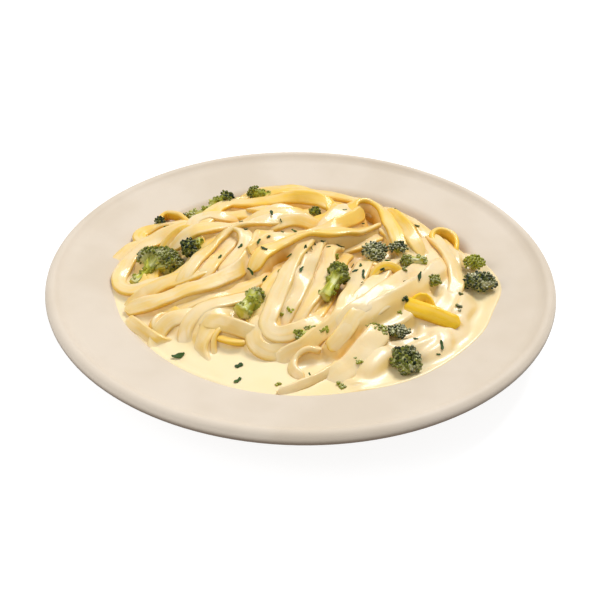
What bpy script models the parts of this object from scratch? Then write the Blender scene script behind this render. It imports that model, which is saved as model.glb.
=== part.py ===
"""Fettuccine alfredo with broccoli, served on a rimmed dinner plate.

The plate stands on its foot ring at z = 0, with its axis on +Z and the origin at the
centre of that ring. The front of the dish, where the sauce pools, faces -Y.
"""

import math

import bmesh
import bpy
from mathutils import Vector

MM = 0.001
WELD = 0.000002

# Plate, in millimetres: a turned stoneware plate with a coupe well and a rolled edge.
FLOOR_RADIUS = 67.6
FLOOR_HEIGHT = 7.0
WALL_RADIUS = 33.0
WALL_ANGLE = math.radians(50.0)
SHOULDER_RADIUS = 8.0
RIM_SLOPE = math.radians(7.0)
RIM_END = 121.5
ROLL_RADIUS = 3.5
ROLL_CENTRE = (126.5, 23.5)
WALL_THICKNESS = 5.0
FOOT_INNER = 69.5
FOOT_OUTER = 75.5
FOOT_RECESS = 3.0
FOOT_CHAMFER = 0.7
PLATE_STEPS = 40

# Sauce, in millimetres: a thick cream that fills the well and laps over it on the right.
SAUCE_LEVEL = 21.0
SAUCE_BACK_LEVEL = 17.0
SAUCE_REACH = 97.5
SAUCE_MARGIN = 88.0
SAUCE_LAP = 7.5
SAUCE_FILM = 0.9
FIT = 0.6

# Heap of noodles, in millimetres.
HEAP_PEAK = 41.8
HEAP_EDGE = 22.5
HEAP_REACH = 86.0
HEAP_CENTRE = (-2.0, 4.0)
HEAP_CROWN_POWER = 2.2
HEAP_STEPS = 26
HEAP_RINGS = 4
BED_THICKNESS = 2.6

# Fettuccine, in millimetres.
NOODLE_WIDTH = 8.3
NOODLE_THICKNESS = 2.0
NOODLE_STEP = 18.0
NOODLE_CLEARANCE = 1.6

CLEARANCE = 0.35

# Routes of the noodles that shape the outside of the heap: x, y and lift over the heap.
NOODLE_ROUTES = (
    ((-88, -30, 0.2), (-62, -32, 0.6), (-38, -22, 0.6), (-18, -2, 0.6), (4, 9, 0.6), (30, 11, 0.4)),
    ((-95, 0, 0.2), (-92, -19, 0.2), (-74, -17, 0.2), (-56, -9, 0.4), (-44, 4, 0.4)),
    ((-95, 8, 0.2), (-88, 20, 0.2), (-72, 25, 0.2), (-56, 20, 0.4), (-42, 10, 0.4), (-30, 2, 0.2)),
    ((10, 6, 0.8), (0, -8, 0.8), (-9, -28, 0.8), (-17, -48, 0.6), (-24, -63, 0.4)),
    ((40, -10, 0.6), (27, -30, 0.6), (15, -50, 0.4), (-4, -64, 0.2)),
    ((64, -12, 0.4), (48, -33, 0.6), (26, -47, 0.4), (10, -60, 0.2)),
    ((70, 34, 0.2), (74, 12, 0.4), (74, -10, 0.2), (72, -30, 0.2)),
    ((-48, 44, 0.4), (-40, 54, 0.4), (-20, 52, 0.6), (4, 50, 0.6), (26, 50, 0.4)),
    ((-30, 36, 0.6), (-8, 34, 0.8), (16, 36, 0.8), (36, 34, 0.6), (52, 22, 0.4)),
    ((-62, 34, 0.2), (-40, 30, 0.6), (-16, 24, 0.8), (8, 22, 0.8), (30, 26, 0.6)),
    ((-34, 74, 0.2), (-12, 70, 0.4), (12, 70, 0.4), (34, 62, 0.2)),
    ((-86, 34, 0.2), (-80, 50, 0.2), (-66, 60, 0.2)),
    ((28, 46, 0.4), (40, 38, 0.6), (52, 16, 0.4), (64, 6, 0.4)),
    ((50, -40, 0.4), (64, -44, 0.4), (78, -38, 0.2)),
    ((-70, -46, 0.2), (-56, -38, 0.4), (-40, -42, 0.4), (-22, -52, 0.2)),
    ((-50, -42, 0.2), (-50, -56, 0.2), (-45, -68, 0.2)),
    ((-6, -84, 0.2), (6, -79, 0.2), (20, -67, 0.2), (34, -54, 0.2)),
)

# Broccoli: place of the head, its radius, the number of bud clusters, and the stem's
# heading in degrees, dip in degrees, length and radius (a length of 0 has no stem).
FLORETS = (
    ((-75, 2, 28), 8.6, 6, 245, 12, 10, 3.0),
    ((-57, 9, 32), 5.4, 3, 60, 10, 8, 2.4),
    ((-78, 46, 26), 3.8, 2, 0, 0, 0, 0),
    ((-62, 49, 27), 4.0, 2, 40, 0, 15, 3.2),
    ((-44, 68, 28.5), 5.8, 3, 200, 6, 8, 2.6),
    ((-26, 76, 28), 4.6, 3, -20, 2, 12, 2.4),
    ((7, 42, 37), 4.2, 2, 0, 0, 0, 0),
    ((19, -18, 37.5), 5.2, 3, 248, 8, 20, 3.8),
    ((-23, -38, 33.5), 5.4, 3, 235, 10, 12, 3.4),
    ((37, 4, 34.5), 7.2, 4, 0, 0, 0, 0),
    ((50, 8, 34), 4.2, 2, 0, 0, 0, 0),
    ((55, -2, 32.5), 4.0, 2, 15, 6, 9, 2.4),
    ((67, -16, 30), 4.0, 2, 0, 0, 0, 0),
    ((90, 11, 26.5), 5.4, 3, 0, 0, 0, 0),
    ((90, -6, 26), 7.2, 4, 0, 0, 0, 0),
    ((49.5, -71, 25.5), 7.2, 4, 0, 0, 0, 0),
    ((48, -54, 27.5), 4.6, 2, 0, 0, 0, 0),
    ((36, -57, 26), 5.4, 3, 243, 8, 25, 4.8),
    ((-2, -57, 28), 4.4, 2, 18, -4, 13, 3.0),
)
CLUSTER_SPREAD = 0.46
CLUSTER_SIZE = 0.74
STEM_SWELL = 1.25
GOLDEN_ANGLE = math.pi * (3.0 - math.sqrt(5.0))

CREAM_GLAZE = (0.78, 0.70, 0.60)
CREAM_SAUCE = (0.88, 0.76, 0.50)
EGG_PASTA = (0.86, 0.68, 0.34)
BROCCOLI_GREEN = (0.10, 0.18, 0.04)


def arc(centre, radius, start, end, count):
    """Points of an arc in the turning plane, from one angle to another, in radians."""
    angles = [start + (end - start) * step / count for step in range(count + 1)]
    return [(centre[0] + radius * math.cos(a), centre[1] + radius * math.sin(a)) for a in angles]


def wall_centre():
    """Centre of the arc of the well's hollow wall."""
    return (FLOOR_RADIUS, FLOOR_HEIGHT + WALL_RADIUS)


def shoulder_centre():
    """Centre of the arc that rounds the well over into the rim."""
    reach = WALL_RADIUS + SHOULDER_RADIUS
    centre = wall_centre()
    return (centre[0] + reach * math.sin(WALL_ANGLE), centre[1] - reach * math.cos(WALL_ANGLE))


def plate_height(radius):
    """Height of the plate's upper surface at a distance from its axis."""
    wall, shoulder = wall_centre(), shoulder_centre()
    wall_end = wall[0] + WALL_RADIUS * math.sin(WALL_ANGLE)
    shoulder_end = shoulder[0] - SHOULDER_RADIUS * math.sin(RIM_SLOPE)
    if radius <= FLOOR_RADIUS:
        return FLOOR_HEIGHT
    if radius <= wall_end:
        return wall[1] - math.sqrt(WALL_RADIUS**2 - (radius - wall[0]) ** 2)
    if radius <= shoulder_end:
        return shoulder[1] + math.sqrt(SHOULDER_RADIUS**2 - (radius - shoulder[0]) ** 2)
    rise = (radius - shoulder_end) * math.tan(RIM_SLOPE)
    return shoulder[1] + SHOULDER_RADIUS * math.cos(RIM_SLOPE) + rise


def plate_profile():
    """Profile of the plate, over the top, round the rolled edge and back underneath."""
    level = math.radians(-90.0)
    upright = math.radians(90.0)
    wall_end, foot_start = level + WALL_ANGLE, level + math.radians(15.0)
    shoulder_end = upright + RIM_SLOPE
    points = [(0.0, FLOOR_HEIGHT)]
    points += arc(wall_centre(), WALL_RADIUS, level, wall_end, 3)
    points += arc(shoulder_centre(), SHOULDER_RADIUS, upright + WALL_ANGLE, shoulder_end, 3)[1:]
    points += [(RIM_END, plate_height(RIM_END))]
    points += arc(ROLL_CENTRE, ROLL_RADIUS, math.radians(140.0), math.radians(-110.0), 5)
    under_shoulder = SHOULDER_RADIUS - WALL_THICKNESS
    points += arc(shoulder_centre(), under_shoulder, shoulder_end, upright + WALL_ANGLE, 1)
    points += arc(wall_centre(), WALL_RADIUS + WALL_THICKNESS, wall_end, foot_start, 3)[1:]
    points += [(FOOT_OUTER + FOOT_CHAMFER, FOOT_CHAMFER), (FOOT_OUTER, 0.0)]
    points += [(FOOT_INNER, 0.0), (FOOT_INNER - FOOT_CHAMFER, FOOT_CHAMFER)]
    points += [(FOOT_INNER - FOOT_RECESS, FOOT_RECESS), (0.0, FOOT_RECESS)]
    return points


def bump(angle, centre, width):
    """A smooth swelling, 1 at its centre, round the circle; all in degrees."""
    turn = (angle - centre + 180.0) % 360.0 - 180.0
    return math.exp(-((turn / width) ** 2))


def heap_reach(angle):
    """Distance from the heap's centre to its edge at an angle in degrees."""
    ripple = 1.6 * math.sin(math.radians(5 * angle + 20)) + 1.2 * math.sin(math.radians(9 * angle))
    pool = 23.0 * bump(angle, -112.0, 30.0)
    back = 9.0 * bump(angle, 58.0, 26.0)
    return HEAP_REACH + ripple - pool - back


def heap_height(x, y):
    """Height of the heap's rounded top."""
    dx, dy = x - HEAP_CENTRE[0], y - HEAP_CENTRE[1]
    share = math.hypot(dx, dy) / heap_reach(math.degrees(math.atan2(dy, dx)))
    crown = max(0.0, 1.0 - share**HEAP_CROWN_POWER)
    lumps = 0.7 * math.sin(0.11 * x + 0.07 * y) + 0.5 * math.sin(0.09 * y - 0.13 * x)
    return HEAP_EDGE + (HEAP_PEAK - HEAP_EDGE) * crown + lumps * crown


def sauce_reach(angle):
    """Distance from the plate's axis to the sauce's edge at an angle in degrees."""
    ripple = 0.6 * math.sin(math.radians(4 * angle + 50)) + 0.4 * math.sin(math.radians(11 * angle))
    lap = SAUCE_LAP * bump(angle, 2.0, 24.0)
    back = 5.0 * bump(angle, 60.0, 24.0)
    return SAUCE_REACH + ripple + lap - back


def sauce_height(x, y):
    """Level of the sauce: flat in the front pool, sinking gently towards the back."""
    share = min(1.0, max(0.0, y / SAUCE_REACH))
    return SAUCE_LEVEL - (SAUCE_LEVEL - SAUCE_BACK_LEVEL) * share * share


def collection(name):
    """A new collection in the scene."""
    group = bpy.data.collections.new(name)
    bpy.context.scene.collection.children.link(group)
    return group


def material(name, colour, roughness):
    """A Principled material in one colour."""
    finish = bpy.data.materials.new(name)
    finish.use_nodes = True
    shader = finish.node_tree.nodes["Principled BSDF"]
    shader.inputs["Base Color"].default_value = (*colour, 1.0)
    shader.inputs["Roughness"].default_value = roughness
    shader.inputs["Metallic"].default_value = 0.0
    return finish


def add_object(name, data, group, finish=None):
    """An object for some data, linked into a collection and given a material."""
    item = bpy.data.objects.new(name, data)
    group.objects.link(item)
    if finish is not None:
        data.materials.append(finish)
    return item


def as_guide(item):
    """Mark an object as a tool that shapes others and isn't part of the dish."""
    item.hide_render = True
    item.display_type = "WIRE"
    return item


def turned(name, profile, steps, group, finish=None):
    """A body turned round +Z from a profile in millimetres."""
    mesh = bpy.data.meshes.new(name)
    points = [(radius * MM, 0.0, height * MM) for radius, height in profile]
    edges = [(index, index + 1) for index in range(len(points) - 1)]
    mesh.from_pydata(points, edges, [])
    item = add_object(name, mesh, group, finish)
    screw = item.modifiers.new("Turn", "SCREW")
    screw.steps = steps
    screw.render_steps = steps
    screw.use_merge_vertices = True
    screw.merge_threshold = 0.00001
    return item


def evaluated_mesh(item):
    """A new mesh of the object as its modifiers leave it."""
    bpy.context.view_layer.update()
    depsgraph = bpy.context.evaluated_depsgraph_get()
    return bpy.data.meshes.new_from_object(item.evaluated_get(depsgraph))


def clean(mesh):
    """Weld a closed mesh, keep its largest skin and turn its faces outwards."""
    work = bmesh.new()
    work.from_mesh(mesh)
    bmesh.ops.triangulate(work, faces=work.faces)
    bmesh.ops.remove_doubles(work, verts=work.verts, dist=WELD)
    bmesh.ops.dissolve_degenerate(work, edges=work.edges, dist=WELD)
    keep_largest(work)
    bmesh.ops.recalc_face_normals(work, faces=work.faces)
    work.to_mesh(mesh)
    work.free()
    return mesh


def keep_largest(work):
    """Remove every closed skin of a mesh but the one with most faces."""
    unseen = set(work.faces)
    skins = []
    while unseen:
        front = [unseen.pop()]
        skin = set(front)
        while front:
            edges = [edge for edge in front.pop().edges if len(edge.link_faces) == 2]
            near = {face for edge in edges for face in edge.link_faces} - skin
            skin |= near
            front += near
        unseen -= skin
        skins.append(skin)
    skins.sort(key=len)
    for skin in skins[:-1]:
        bmesh.ops.delete(work, geom=list(skin), context="FACES")
    loose = [vertex for vertex in work.verts if not vertex.link_faces]
    bmesh.ops.delete(work, geom=loose, context="VERTS")


def with_modifiers_applied(item):
    """Bake an object's modifiers into its own mesh."""
    mesh = clean(evaluated_mesh(item))
    item.modifiers.clear()
    item.data = mesh
    return item


def combine(item, mode, tools):
    """Join or cut an object with every object of a collection."""
    boolean = item.modifiers.new(mode.title(), "BOOLEAN")
    boolean.operation = mode
    boolean.solver = "EXACT"
    boolean.operand_type = "COLLECTION"
    boolean.collection = tools
    return boolean


def warp(item, move):
    """Move every point of a turned body by a function of its place, in millimetres."""
    mesh = evaluated_mesh(item)
    item.modifiers.clear()
    item.data = mesh
    for vertex in mesh.vertices:
        vertex.co = Vector(move(*(vertex.co / MM))) * MM
    clean(mesh)
    return item


def build_plate(group, finish):
    """The dinner plate."""
    plate = turned("plate", plate_profile(), PLATE_STEPS, group, finish)
    plate.modifiers["Turn"].use_smooth_shade = True
    return plate


def heap_core(name, grow, group, finish=None):
    """The rounded heap without its single noodles, made larger all round by grow."""
    rings = [(step + 1) / HEAP_RINGS for step in range(HEAP_RINGS)]
    top = [(0.0, 1.0)] + [(ring, 1.0) for ring in rings]
    bottom = [(ring, 0.0) for ring in rings[:0:-1]] + [(0.0, 0.0)]
    profile = [(ring * HEAP_REACH, side) for ring, side in top + bottom]
    core = turned(name, profile, HEAP_STEPS, group, finish)

    def place(x, y, side):
        angle = math.atan2(y, x)
        reach = math.hypot(x, y) / HEAP_REACH * (heap_reach(math.degrees(angle)) + grow)
        px = HEAP_CENTRE[0] + reach * math.cos(angle)
        py = HEAP_CENTRE[1] + reach * math.sin(angle)
        bed = max(plate_height(math.hypot(px, py)), FLOOR_HEIGHT) + BED_THICKNESS - grow
        return (px, py, heap_height(px, py) + grow if side > 0.5 else bed)

    return warp(core, place)


def build_sauce(group, finish):
    """The sauce, up to its level, over the whole well."""
    margin = SAUCE_REACH - SAUCE_MARGIN
    lap = [SAUCE_MARGIN + margin * step / 5 for step in range(5, 0, -1)]
    top = [(radius, 1.0) for radius in (0.0, 0.65 * SAUCE_MARGIN, SAUCE_MARGIN, *lap[2::-2])]
    bottom = [(radius, 0.0) for radius in (*lap, SAUCE_MARGIN, 0.88 * SAUCE_MARGIN, FLOOR_RADIUS, 0.0)]
    sauce = turned("sauce", top + bottom, PLATE_STEPS, group, finish)

    def place(x, y, side):
        angle = math.atan2(y, x)
        stretch = (sauce_reach(math.degrees(angle)) - SAUCE_MARGIN) / margin
        beyond = math.hypot(x, y) - SAUCE_MARGIN
        reach = SAUCE_MARGIN + beyond * (stretch if beyond > 0.0 else 1.0)
        px, py = reach * math.cos(angle), reach * math.sin(angle)
        bottom = plate_height(reach) + FIT
        top = max(sauce_height(px, py), bottom + SAUCE_FILM)
        return (px, py, top if side > 0.5 else bottom)

    return warp(sauce, place)


def surface_height(x, y):
    """Height on which a noodle lies: the heap, the sauce or the plate, whichever is higher."""
    floor = max(plate_height(math.hypot(x, y)) + SAUCE_FILM, sauce_height(x, y))
    return max(heap_height(x, y), floor + NOODLE_CLEARANCE)


def smooth_route(route):
    """Evenly spaced points along a smooth curve through a route's own points."""
    points = [Vector(point) for point in route]
    ends = [points[0] * 2 - points[1]] + points + [points[-1] * 2 - points[-2]]
    result = []
    for before, start, end, after in zip(ends, ends[1:], ends[2:], ends[3:]):
        count = max(1, round((end - start).length / NOODLE_STEP))
        for step in range(count):
            result.append(spline_point(before, start, end, after, step / count))
    return result + [points[-1]]


def spline_point(before, start, end, after, share):
    """A point of the smooth curve that runs from start to end between its neighbours."""
    linear = (end - before) * share
    square = (before * 2 - start * 5 + end * 4 - after) * share**2
    cubic = (start * 3 - before - end * 3 + after) * share**3
    return start + (linear + square + cubic) * 0.5


def cross_tilt(x, y, heading):
    """Angle by which a noodle leans to lie along the surface across its heading."""
    left = Vector((-heading.y, heading.x, 0.0)).normalized() * NOODLE_WIDTH * 0.5
    rise = surface_height(x + left.x, y + left.y) - surface_height(x - left.x, y - left.y)
    return math.atan2(rise, NOODLE_WIDTH)


def noodle_section(group, grow):
    """The flat outline that every noodle is drawn with."""
    outline = bpy.data.curves.new("noodle_section", "CURVE")
    outline.dimensions = "2D"
    spline = outline.splines.new("POLY")
    spline.points.add(3)
    half_width, half_height = (NOODLE_WIDTH / 2 + grow) * MM, (NOODLE_THICKNESS / 2 + grow) * MM
    corners = ((-half_width, half_height), (half_width, half_height))
    corners += ((half_width, -half_height), (-half_width, -half_height))
    for point, corner in zip(spline.points, corners):
        point.co = (*corner, 0.0, 1.0)
    spline.use_cyclic_u = True
    return as_guide(add_object("noodle_section", outline, group))


def noodle(name, route, section, grow, group):
    """One noodle laid along its route, as a closed mesh."""
    points = smooth_route(route)
    curve = bpy.data.curves.new(name, "CURVE")
    curve.dimensions = "3D"
    curve.twist_mode = "Z_UP"
    curve.bevel_mode = "OBJECT"
    curve.bevel_object = section
    curve.use_fill_caps = True
    spline = curve.splines.new("POLY")
    spline.points.add(len(points) - 1)
    headings = [after - before for before, after in zip(points[:1] + points, points[1:] + points[-1:])]
    overrun = (grow, *[0.0] * (len(points) - 2), -grow)
    for point, place, heading, extra in zip(spline.points, points, headings, overrun):
        place = place - Vector((heading.x, heading.y, 0.0)).normalized() * extra
        height = surface_height(place.x, place.y) + place.z
        point.co = (place.x * MM, place.y * MM, height * MM, 1.0)
        point.tilt = cross_tilt(place.x, place.y, heading)
    item = add_object(name, curve, group)
    mesh = clean(evaluated_mesh(item))
    bpy.data.objects.remove(item)
    return as_guide(add_object(name, mesh, group))


def noodle_set(name, grow):
    """Every shaping noodle, made thicker all round by grow, in a collection of tools."""
    group = collection(name)
    section = noodle_section(bpy.context.scene.collection, grow)
    for index, route in enumerate(NOODLE_ROUTES):
        noodle(f"{name}_{index + 1:02d}", route, section, grow, group)
    return group


def floret(name, data, grow, group, finish=None):
    """A broccoli floret: bud clusters round a head, with a tapered stem."""
    place, radius, clusters, heading, dip, length, stem_radius = data
    centre = Vector(place)
    parts = collection(f"{name}_parts")
    balls = []
    for index in range(clusters):
        place = cluster_place(centre, radius, heading, index, clusters)
        balls.append(ball(place, index, radius, grow))
    for index, mesh in enumerate(balls[1:]):
        as_guide(add_object(f"{name}_cluster_{index + 2}", mesh, parts))
    if length > 0:
        stem(f"{name}_stem", centre, heading, dip, length, stem_radius + grow, grow, parts)
    item = add_object(name, balls[0], group, finish)
    combine(item, "UNION", parts)
    return with_modifiers_applied(item)


def cluster_place(centre, radius, heading, index, clusters):
    """Centre of one bud cluster: they spiral down round the head."""
    turn = math.radians(heading) + index * GOLDEN_ANGLE
    level = 0.5 - 0.8 * index / clusters
    return centre + Vector((math.cos(turn), math.sin(turn), level)) * radius * CLUSTER_SPREAD


def ball(centre, index, radius, grow):
    """The mesh of one bud cluster, each a little larger or smaller than the last."""
    size = radius * CLUSTER_SIZE * (1.0 + 0.12 * math.sin(2.7 * index + radius)) + grow
    mesh = bpy.data.meshes.new("cluster")
    work = bmesh.new()
    bmesh.ops.create_uvsphere(work, u_segments=6, v_segments=4, radius=size * MM)
    bmesh.ops.translate(work, verts=work.verts, vec=centre * MM)
    work.to_mesh(mesh)
    work.free()
    return mesh


def stem(name, centre, heading, dip, length, radius, grow, group):
    """A stem that leaves the head along its heading and dips below the level."""
    mesh = bpy.data.meshes.new(name)
    work = bmesh.new()
    ends = {"radius1": radius * MM * STEM_SWELL, "radius2": radius * MM}
    bmesh.ops.create_cone(work, cap_ends=True, segments=6, depth=(length + grow) * MM, **ends)
    turn, fall = math.radians(heading), math.radians(dip)
    along = Vector((math.cos(turn) * math.cos(fall), math.sin(turn) * math.cos(fall), -math.sin(fall)))
    spin = Vector((0.0, 0.0, 1.0)).rotation_difference(along).to_matrix()
    bmesh.ops.rotate(work, verts=work.verts, cent=(0, 0, 0), matrix=spin)
    bmesh.ops.translate(work, verts=work.verts, vec=(centre + along * (length + grow) / 2) * MM)
    work.to_mesh(mesh)
    work.free()
    return as_guide(add_object(name, mesh, group))


def build_florets(group, finish):
    """The broccoli florets, each with a slightly larger twin that clears its place."""
    cutters = collection("floret_cutters")
    for index, data in enumerate(FLORETS):
        name = f"broccoli_{index + 1:02d}"
        floret(name, data, 0.0, group, finish)
        as_guide(floret(f"{name}_place", data, CLEARANCE, cutters))
    return cutters


def main():
    """Build the plate, the sauce, the heap of noodles and the broccoli."""
    for item in list(bpy.data.objects):
        bpy.data.objects.remove(item)
    dish = collection("fettuccine_alfredo")
    build_plate(dish, material("glazed_plate", CREAM_GLAZE, 0.35))
    florets = build_florets(dish, material("broccoli", BROCCOLI_GREEN, 0.6))

    heap = heap_core("noodles", 0.0, dish, material("fettuccine", EGG_PASTA, 0.45))
    combine(heap, "UNION", noodle_set("noodle_shapes", 0.0))
    combine(heap, "DIFFERENCE", florets)
    with_modifiers_applied(heap)

    sauce = build_sauce(dish, material("cream_sauce", CREAM_SAUCE, 0.3))
    places = noodle_set("noodle_places", CLEARANCE)
    as_guide(heap_core("heap_place", CLEARANCE, places))
    combine(sauce, "DIFFERENCE", places)
    combine(sauce, "DIFFERENCE", florets)
    with_modifiers_applied(sauce)


main()
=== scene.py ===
"""Looks of a plate of fettuccine alfredo with broccoli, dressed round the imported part.

Every length in the fields below is in millimetres, unless its class says otherwise, and
turns to metres where a mesh is made. The noodles are laid one by one on a height map of the
food so far, as a cook drops them, and the cream then fills the gaps between them the way a
ball would roll over the heap.
"""

import logging
import math
from dataclasses import dataclass, field
from enum import Enum
from typing import Any, Callable, Iterable, Optional, Sequence

import bpy
import numpy as np
from mathutils import Matrix, Quaternion, Vector


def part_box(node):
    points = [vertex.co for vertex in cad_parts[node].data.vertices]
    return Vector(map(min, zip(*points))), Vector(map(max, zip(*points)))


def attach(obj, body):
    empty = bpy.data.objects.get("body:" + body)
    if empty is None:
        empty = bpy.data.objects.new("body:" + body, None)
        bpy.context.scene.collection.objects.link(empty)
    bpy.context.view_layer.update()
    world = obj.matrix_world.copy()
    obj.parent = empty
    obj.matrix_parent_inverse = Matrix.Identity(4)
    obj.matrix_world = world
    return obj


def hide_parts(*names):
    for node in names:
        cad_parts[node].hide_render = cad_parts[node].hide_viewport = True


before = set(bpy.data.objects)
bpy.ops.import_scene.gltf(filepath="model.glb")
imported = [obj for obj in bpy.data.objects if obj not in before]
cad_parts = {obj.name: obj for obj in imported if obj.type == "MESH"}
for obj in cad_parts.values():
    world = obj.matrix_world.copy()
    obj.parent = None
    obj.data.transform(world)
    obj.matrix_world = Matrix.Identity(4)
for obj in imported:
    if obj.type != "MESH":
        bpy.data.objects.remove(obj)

MM = 0.001
BODY = "root"
LOG = logging.getLogger("fettuccine")
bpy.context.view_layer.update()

Colour = tuple[float, float, float]


class Slot(Enum):
    """The dish's material slots."""

    PLATE = "plate"
    SAUCE = "sauce"
    NOODLES = "noodles"
    BROCCOLI = "broccoli"


class Pick(Enum):
    """What edit mode picks."""

    VERTEX = "VERT"
    EDGE = "EDGE"


# --- Shaders ---


class Value:
    """A number socket that Python's operators work on, adding Math nodes as they go."""

    def __init__(self, graph: "Graph", socket: bpy.types.NodeSocket) -> None:
        """Wraps a socket.

        Args:
            graph: The node tree that the socket is in.
            socket: The output socket.
        """
        self.graph = graph
        self.socket = socket

    def _math(self, operation: str, first: Any, second: Any) -> "Value":
        """Adds one Math node.

        Args:
            operation: The Math node's operation.
            first: The first number or Value.
            second: The second number or Value.

        Returns:
            The node's result.
        """
        node = self.graph.node("ShaderNodeMath", {"operation": operation}, {0: first, 1: second})
        return Value(self.graph, node.outputs[0])

    def __add__(self, other: Any) -> "Value":
        """Sum."""
        return self._math("ADD", self, other)

    def __rsub__(self, other: Any) -> "Value":
        """Difference, with the number first."""
        return self._math("SUBTRACT", other, self)

    def __mul__(self, other: Any) -> "Value":
        """Product."""
        return self._math("MULTIPLY", self, other)

    __radd__ = __add__
    __rmul__ = __mul__

    def step(self, low: float, high: float) -> "Value":
        """A smooth step from 0 at low to 1 at high.

        Args:
            low: Where the step starts.
            high: Where it ends.

        Returns:
            The step.
        """
        settings = {"interpolation_type": "SMOOTHSTEP"}
        inputs = {"Value": self, "From Min": low, "From Max": high}
        return Value(self.graph, self.graph.node("ShaderNodeMapRange", settings, inputs).outputs[0])

    def clamped(self) -> "Value":
        """The value held between 0 and 1."""
        return Value(self.graph, self.graph.node("ShaderNodeClamp", {}, {"Value": self}).outputs[0])


class Graph:
    """The node tree of one material."""

    def __init__(self, name: str) -> None:
        """Starts a material with a Principled BSDF and nothing else.

        Args:
            name: The material's name.
        """
        self.material = bpy.data.materials.new(name)
        self.material.use_nodes = True
        self.tree = self.material.node_tree
        self.shader = self.tree.nodes["Principled BSDF"]
        self.place = self.node("ShaderNodeTexCoord").outputs["Object"]

    def node(
        self, kind: str, settings: Optional[dict[str, Any]] = None, inputs: Optional[dict[Any, Any]] = None
    ) -> bpy.types.Node:
        """Adds a node: its settings first, then its sockets.

        Args:
            kind: The node's type.
            settings: Properties to set.
            inputs: What each input socket, by name or number, gets: a number, colour or link.

        Returns:
            The new node.
        """
        node = self.tree.nodes.new(kind)
        for name, value in (settings or {}).items():
            setattr(node, name, value)
        for name, value in (inputs or {}).items():
            self.feed(node.inputs[name], value)
        return node

    def feed(self, socket: bpy.types.NodeSocket, value: Any) -> None:
        """Links or sets one input socket.

        Args:
            socket: The socket.
            value: The number, colour or link that it gets.
        """
        if isinstance(value, Value):
            value = value.socket
        if isinstance(value, bpy.types.NodeSocket):
            self.tree.links.new(value, socket)
        elif isinstance(value, tuple) and socket.type == "RGBA":
            socket.default_value = (*value, 1.0)
        else:
            socket.default_value = value

    def noise(self, scale: float, detail: float = 2.0) -> Value:
        """A noise from 0 to 1, with scale waves in a metre and detail octaves."""
        inputs = {"Vector": self.place, "Scale": scale, "Detail": detail}
        return Value(self, self.node("ShaderNodeTexNoise", {}, inputs).outputs["Fac"])

    def spots(self, scale: float) -> Value:
        """Distance to the nearest point of a random scatter, scale points in a metre."""
        inputs = {"Vector": self.place, "Scale": scale}
        return Value(self, self.node("ShaderNodeTexVoronoi", {}, inputs).outputs["Distance"])

    def grain(self, along: float, across: float) -> Value:
        """A noise drawn out along each noodle, placed by the noodle's own run, side and lot.

        Args:
            along: Waves in a millimetre along the noodle.
            across: Waves in half its width.

        Returns:
            The noise, from 0 to 1.
        """
        run, side = self.attribute("run") * along, self.attribute("side") * across
        place = self.node("ShaderNodeCombineXYZ", {}, {0: run, 1: side, 2: self.attribute("lot")}).outputs[0]
        inputs = {"Vector": place, "Scale": 1.0, "Detail": 2.0}
        return Value(self, self.node("ShaderNodeTexNoise", {}, inputs).outputs["Fac"])

    def attribute(self, name: str) -> Value:
        """A number that the mesh keeps at each vertex."""
        return Value(self, self.node("ShaderNodeAttribute", {"attribute_name": name}).outputs["Fac"])

    def upward(self) -> Value:
        """How far a face looks up: 1 on level ground, 0 on a wall, below 0 underneath."""
        normal = self.node("ShaderNodeNewGeometry").outputs["Normal"]
        return Value(self, self.node("ShaderNodeSeparateXYZ", {}, {0: normal}).outputs["Z"])

    def mix(self, share: Any, first: Any, second: Any) -> bpy.types.NodeSocket:
        """Mixes two colours: the first where share is 0, the second where it is 1."""
        inputs = {0: share, 6: first, 7: second}
        return self.node("ShaderNodeMix", {"data_type": "RGBA"}, inputs).outputs[2]

    def bump(self, height: Any, depth: float, strength: float = 1.0) -> None:
        """Feeds the shader's normal from a height, depth metres deep."""
        inputs = {"Height": height, "Distance": depth, "Strength": strength}
        self.feed(self.shader.inputs["Normal"], self.node("ShaderNodeBump", {}, inputs).outputs[0])

    def dress(self, **inputs: Any) -> bpy.types.Material:
        """Sets the shader's sockets, with _ for each space in their names.

        Args:
            **inputs: What each socket gets.

        Returns:
            The finished material.
        """
        for name, value in inputs.items():
            self.feed(self.shader.inputs[name.replace("_", " ")], value)
        return self.material


def linear(red: float, green: float, blue: float) -> Colour:
    """A colour given from 0 to 255, as the shader's linear light."""
    parts = [part / 255.0 for part in (red, green, blue)]
    return tuple(p / 12.92 if p <= 0.04045 else ((p + 0.055) / 1.055) ** 2.4 for p in parts)


@dataclass(frozen=True)
class GlazeFinish:
    """Warm off-white stoneware glaze, satin, with faint mottling, tiny specks, and painted shade on faces
    that look down.
    """

    body: Colour = linear(224, 211, 194)
    shade: Colour = linear(217, 203, 184)
    # Painted shade for the faces that look down: the roll's outside and the underside.
    under: Colour = linear(112, 97, 82)
    speck: Colour = linear(176, 160, 140)

    def material(self) -> bpy.types.Material:
        """Builds the glaze.

        Returns:
            The material.
        """
        graph = Graph("stoneware_glaze")
        cloud = graph.noise(26.0, 3.0).step(0.35, 0.7)
        colour = graph.mix(cloud, self.body, self.shade)
        # Painted shade: the more a face looks down, the closer it goes to the under colour.
        colour = graph.mix(1 - graph.upward().step(-0.35, 0.6), colour, self.under)
        specks = 1 - graph.spots(420.0).step(0.03, 0.09)
        rare = graph.noise(90.0, 1.0).step(0.56, 0.62)
        colour = graph.mix(specks * rare * 0.5, colour, self.speck)
        ripple = graph.noise(70.0, 2.0)
        graph.bump(ripple, 0.0002, 0.35)
        return graph.dress(
            Base_Color=colour,
            Roughness=ripple * 0.12 + 0.5,
            Specular_IOR_Level=0.12,
            Coat_Weight=0.04,
            Coat_Roughness=0.2,
        )


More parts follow.
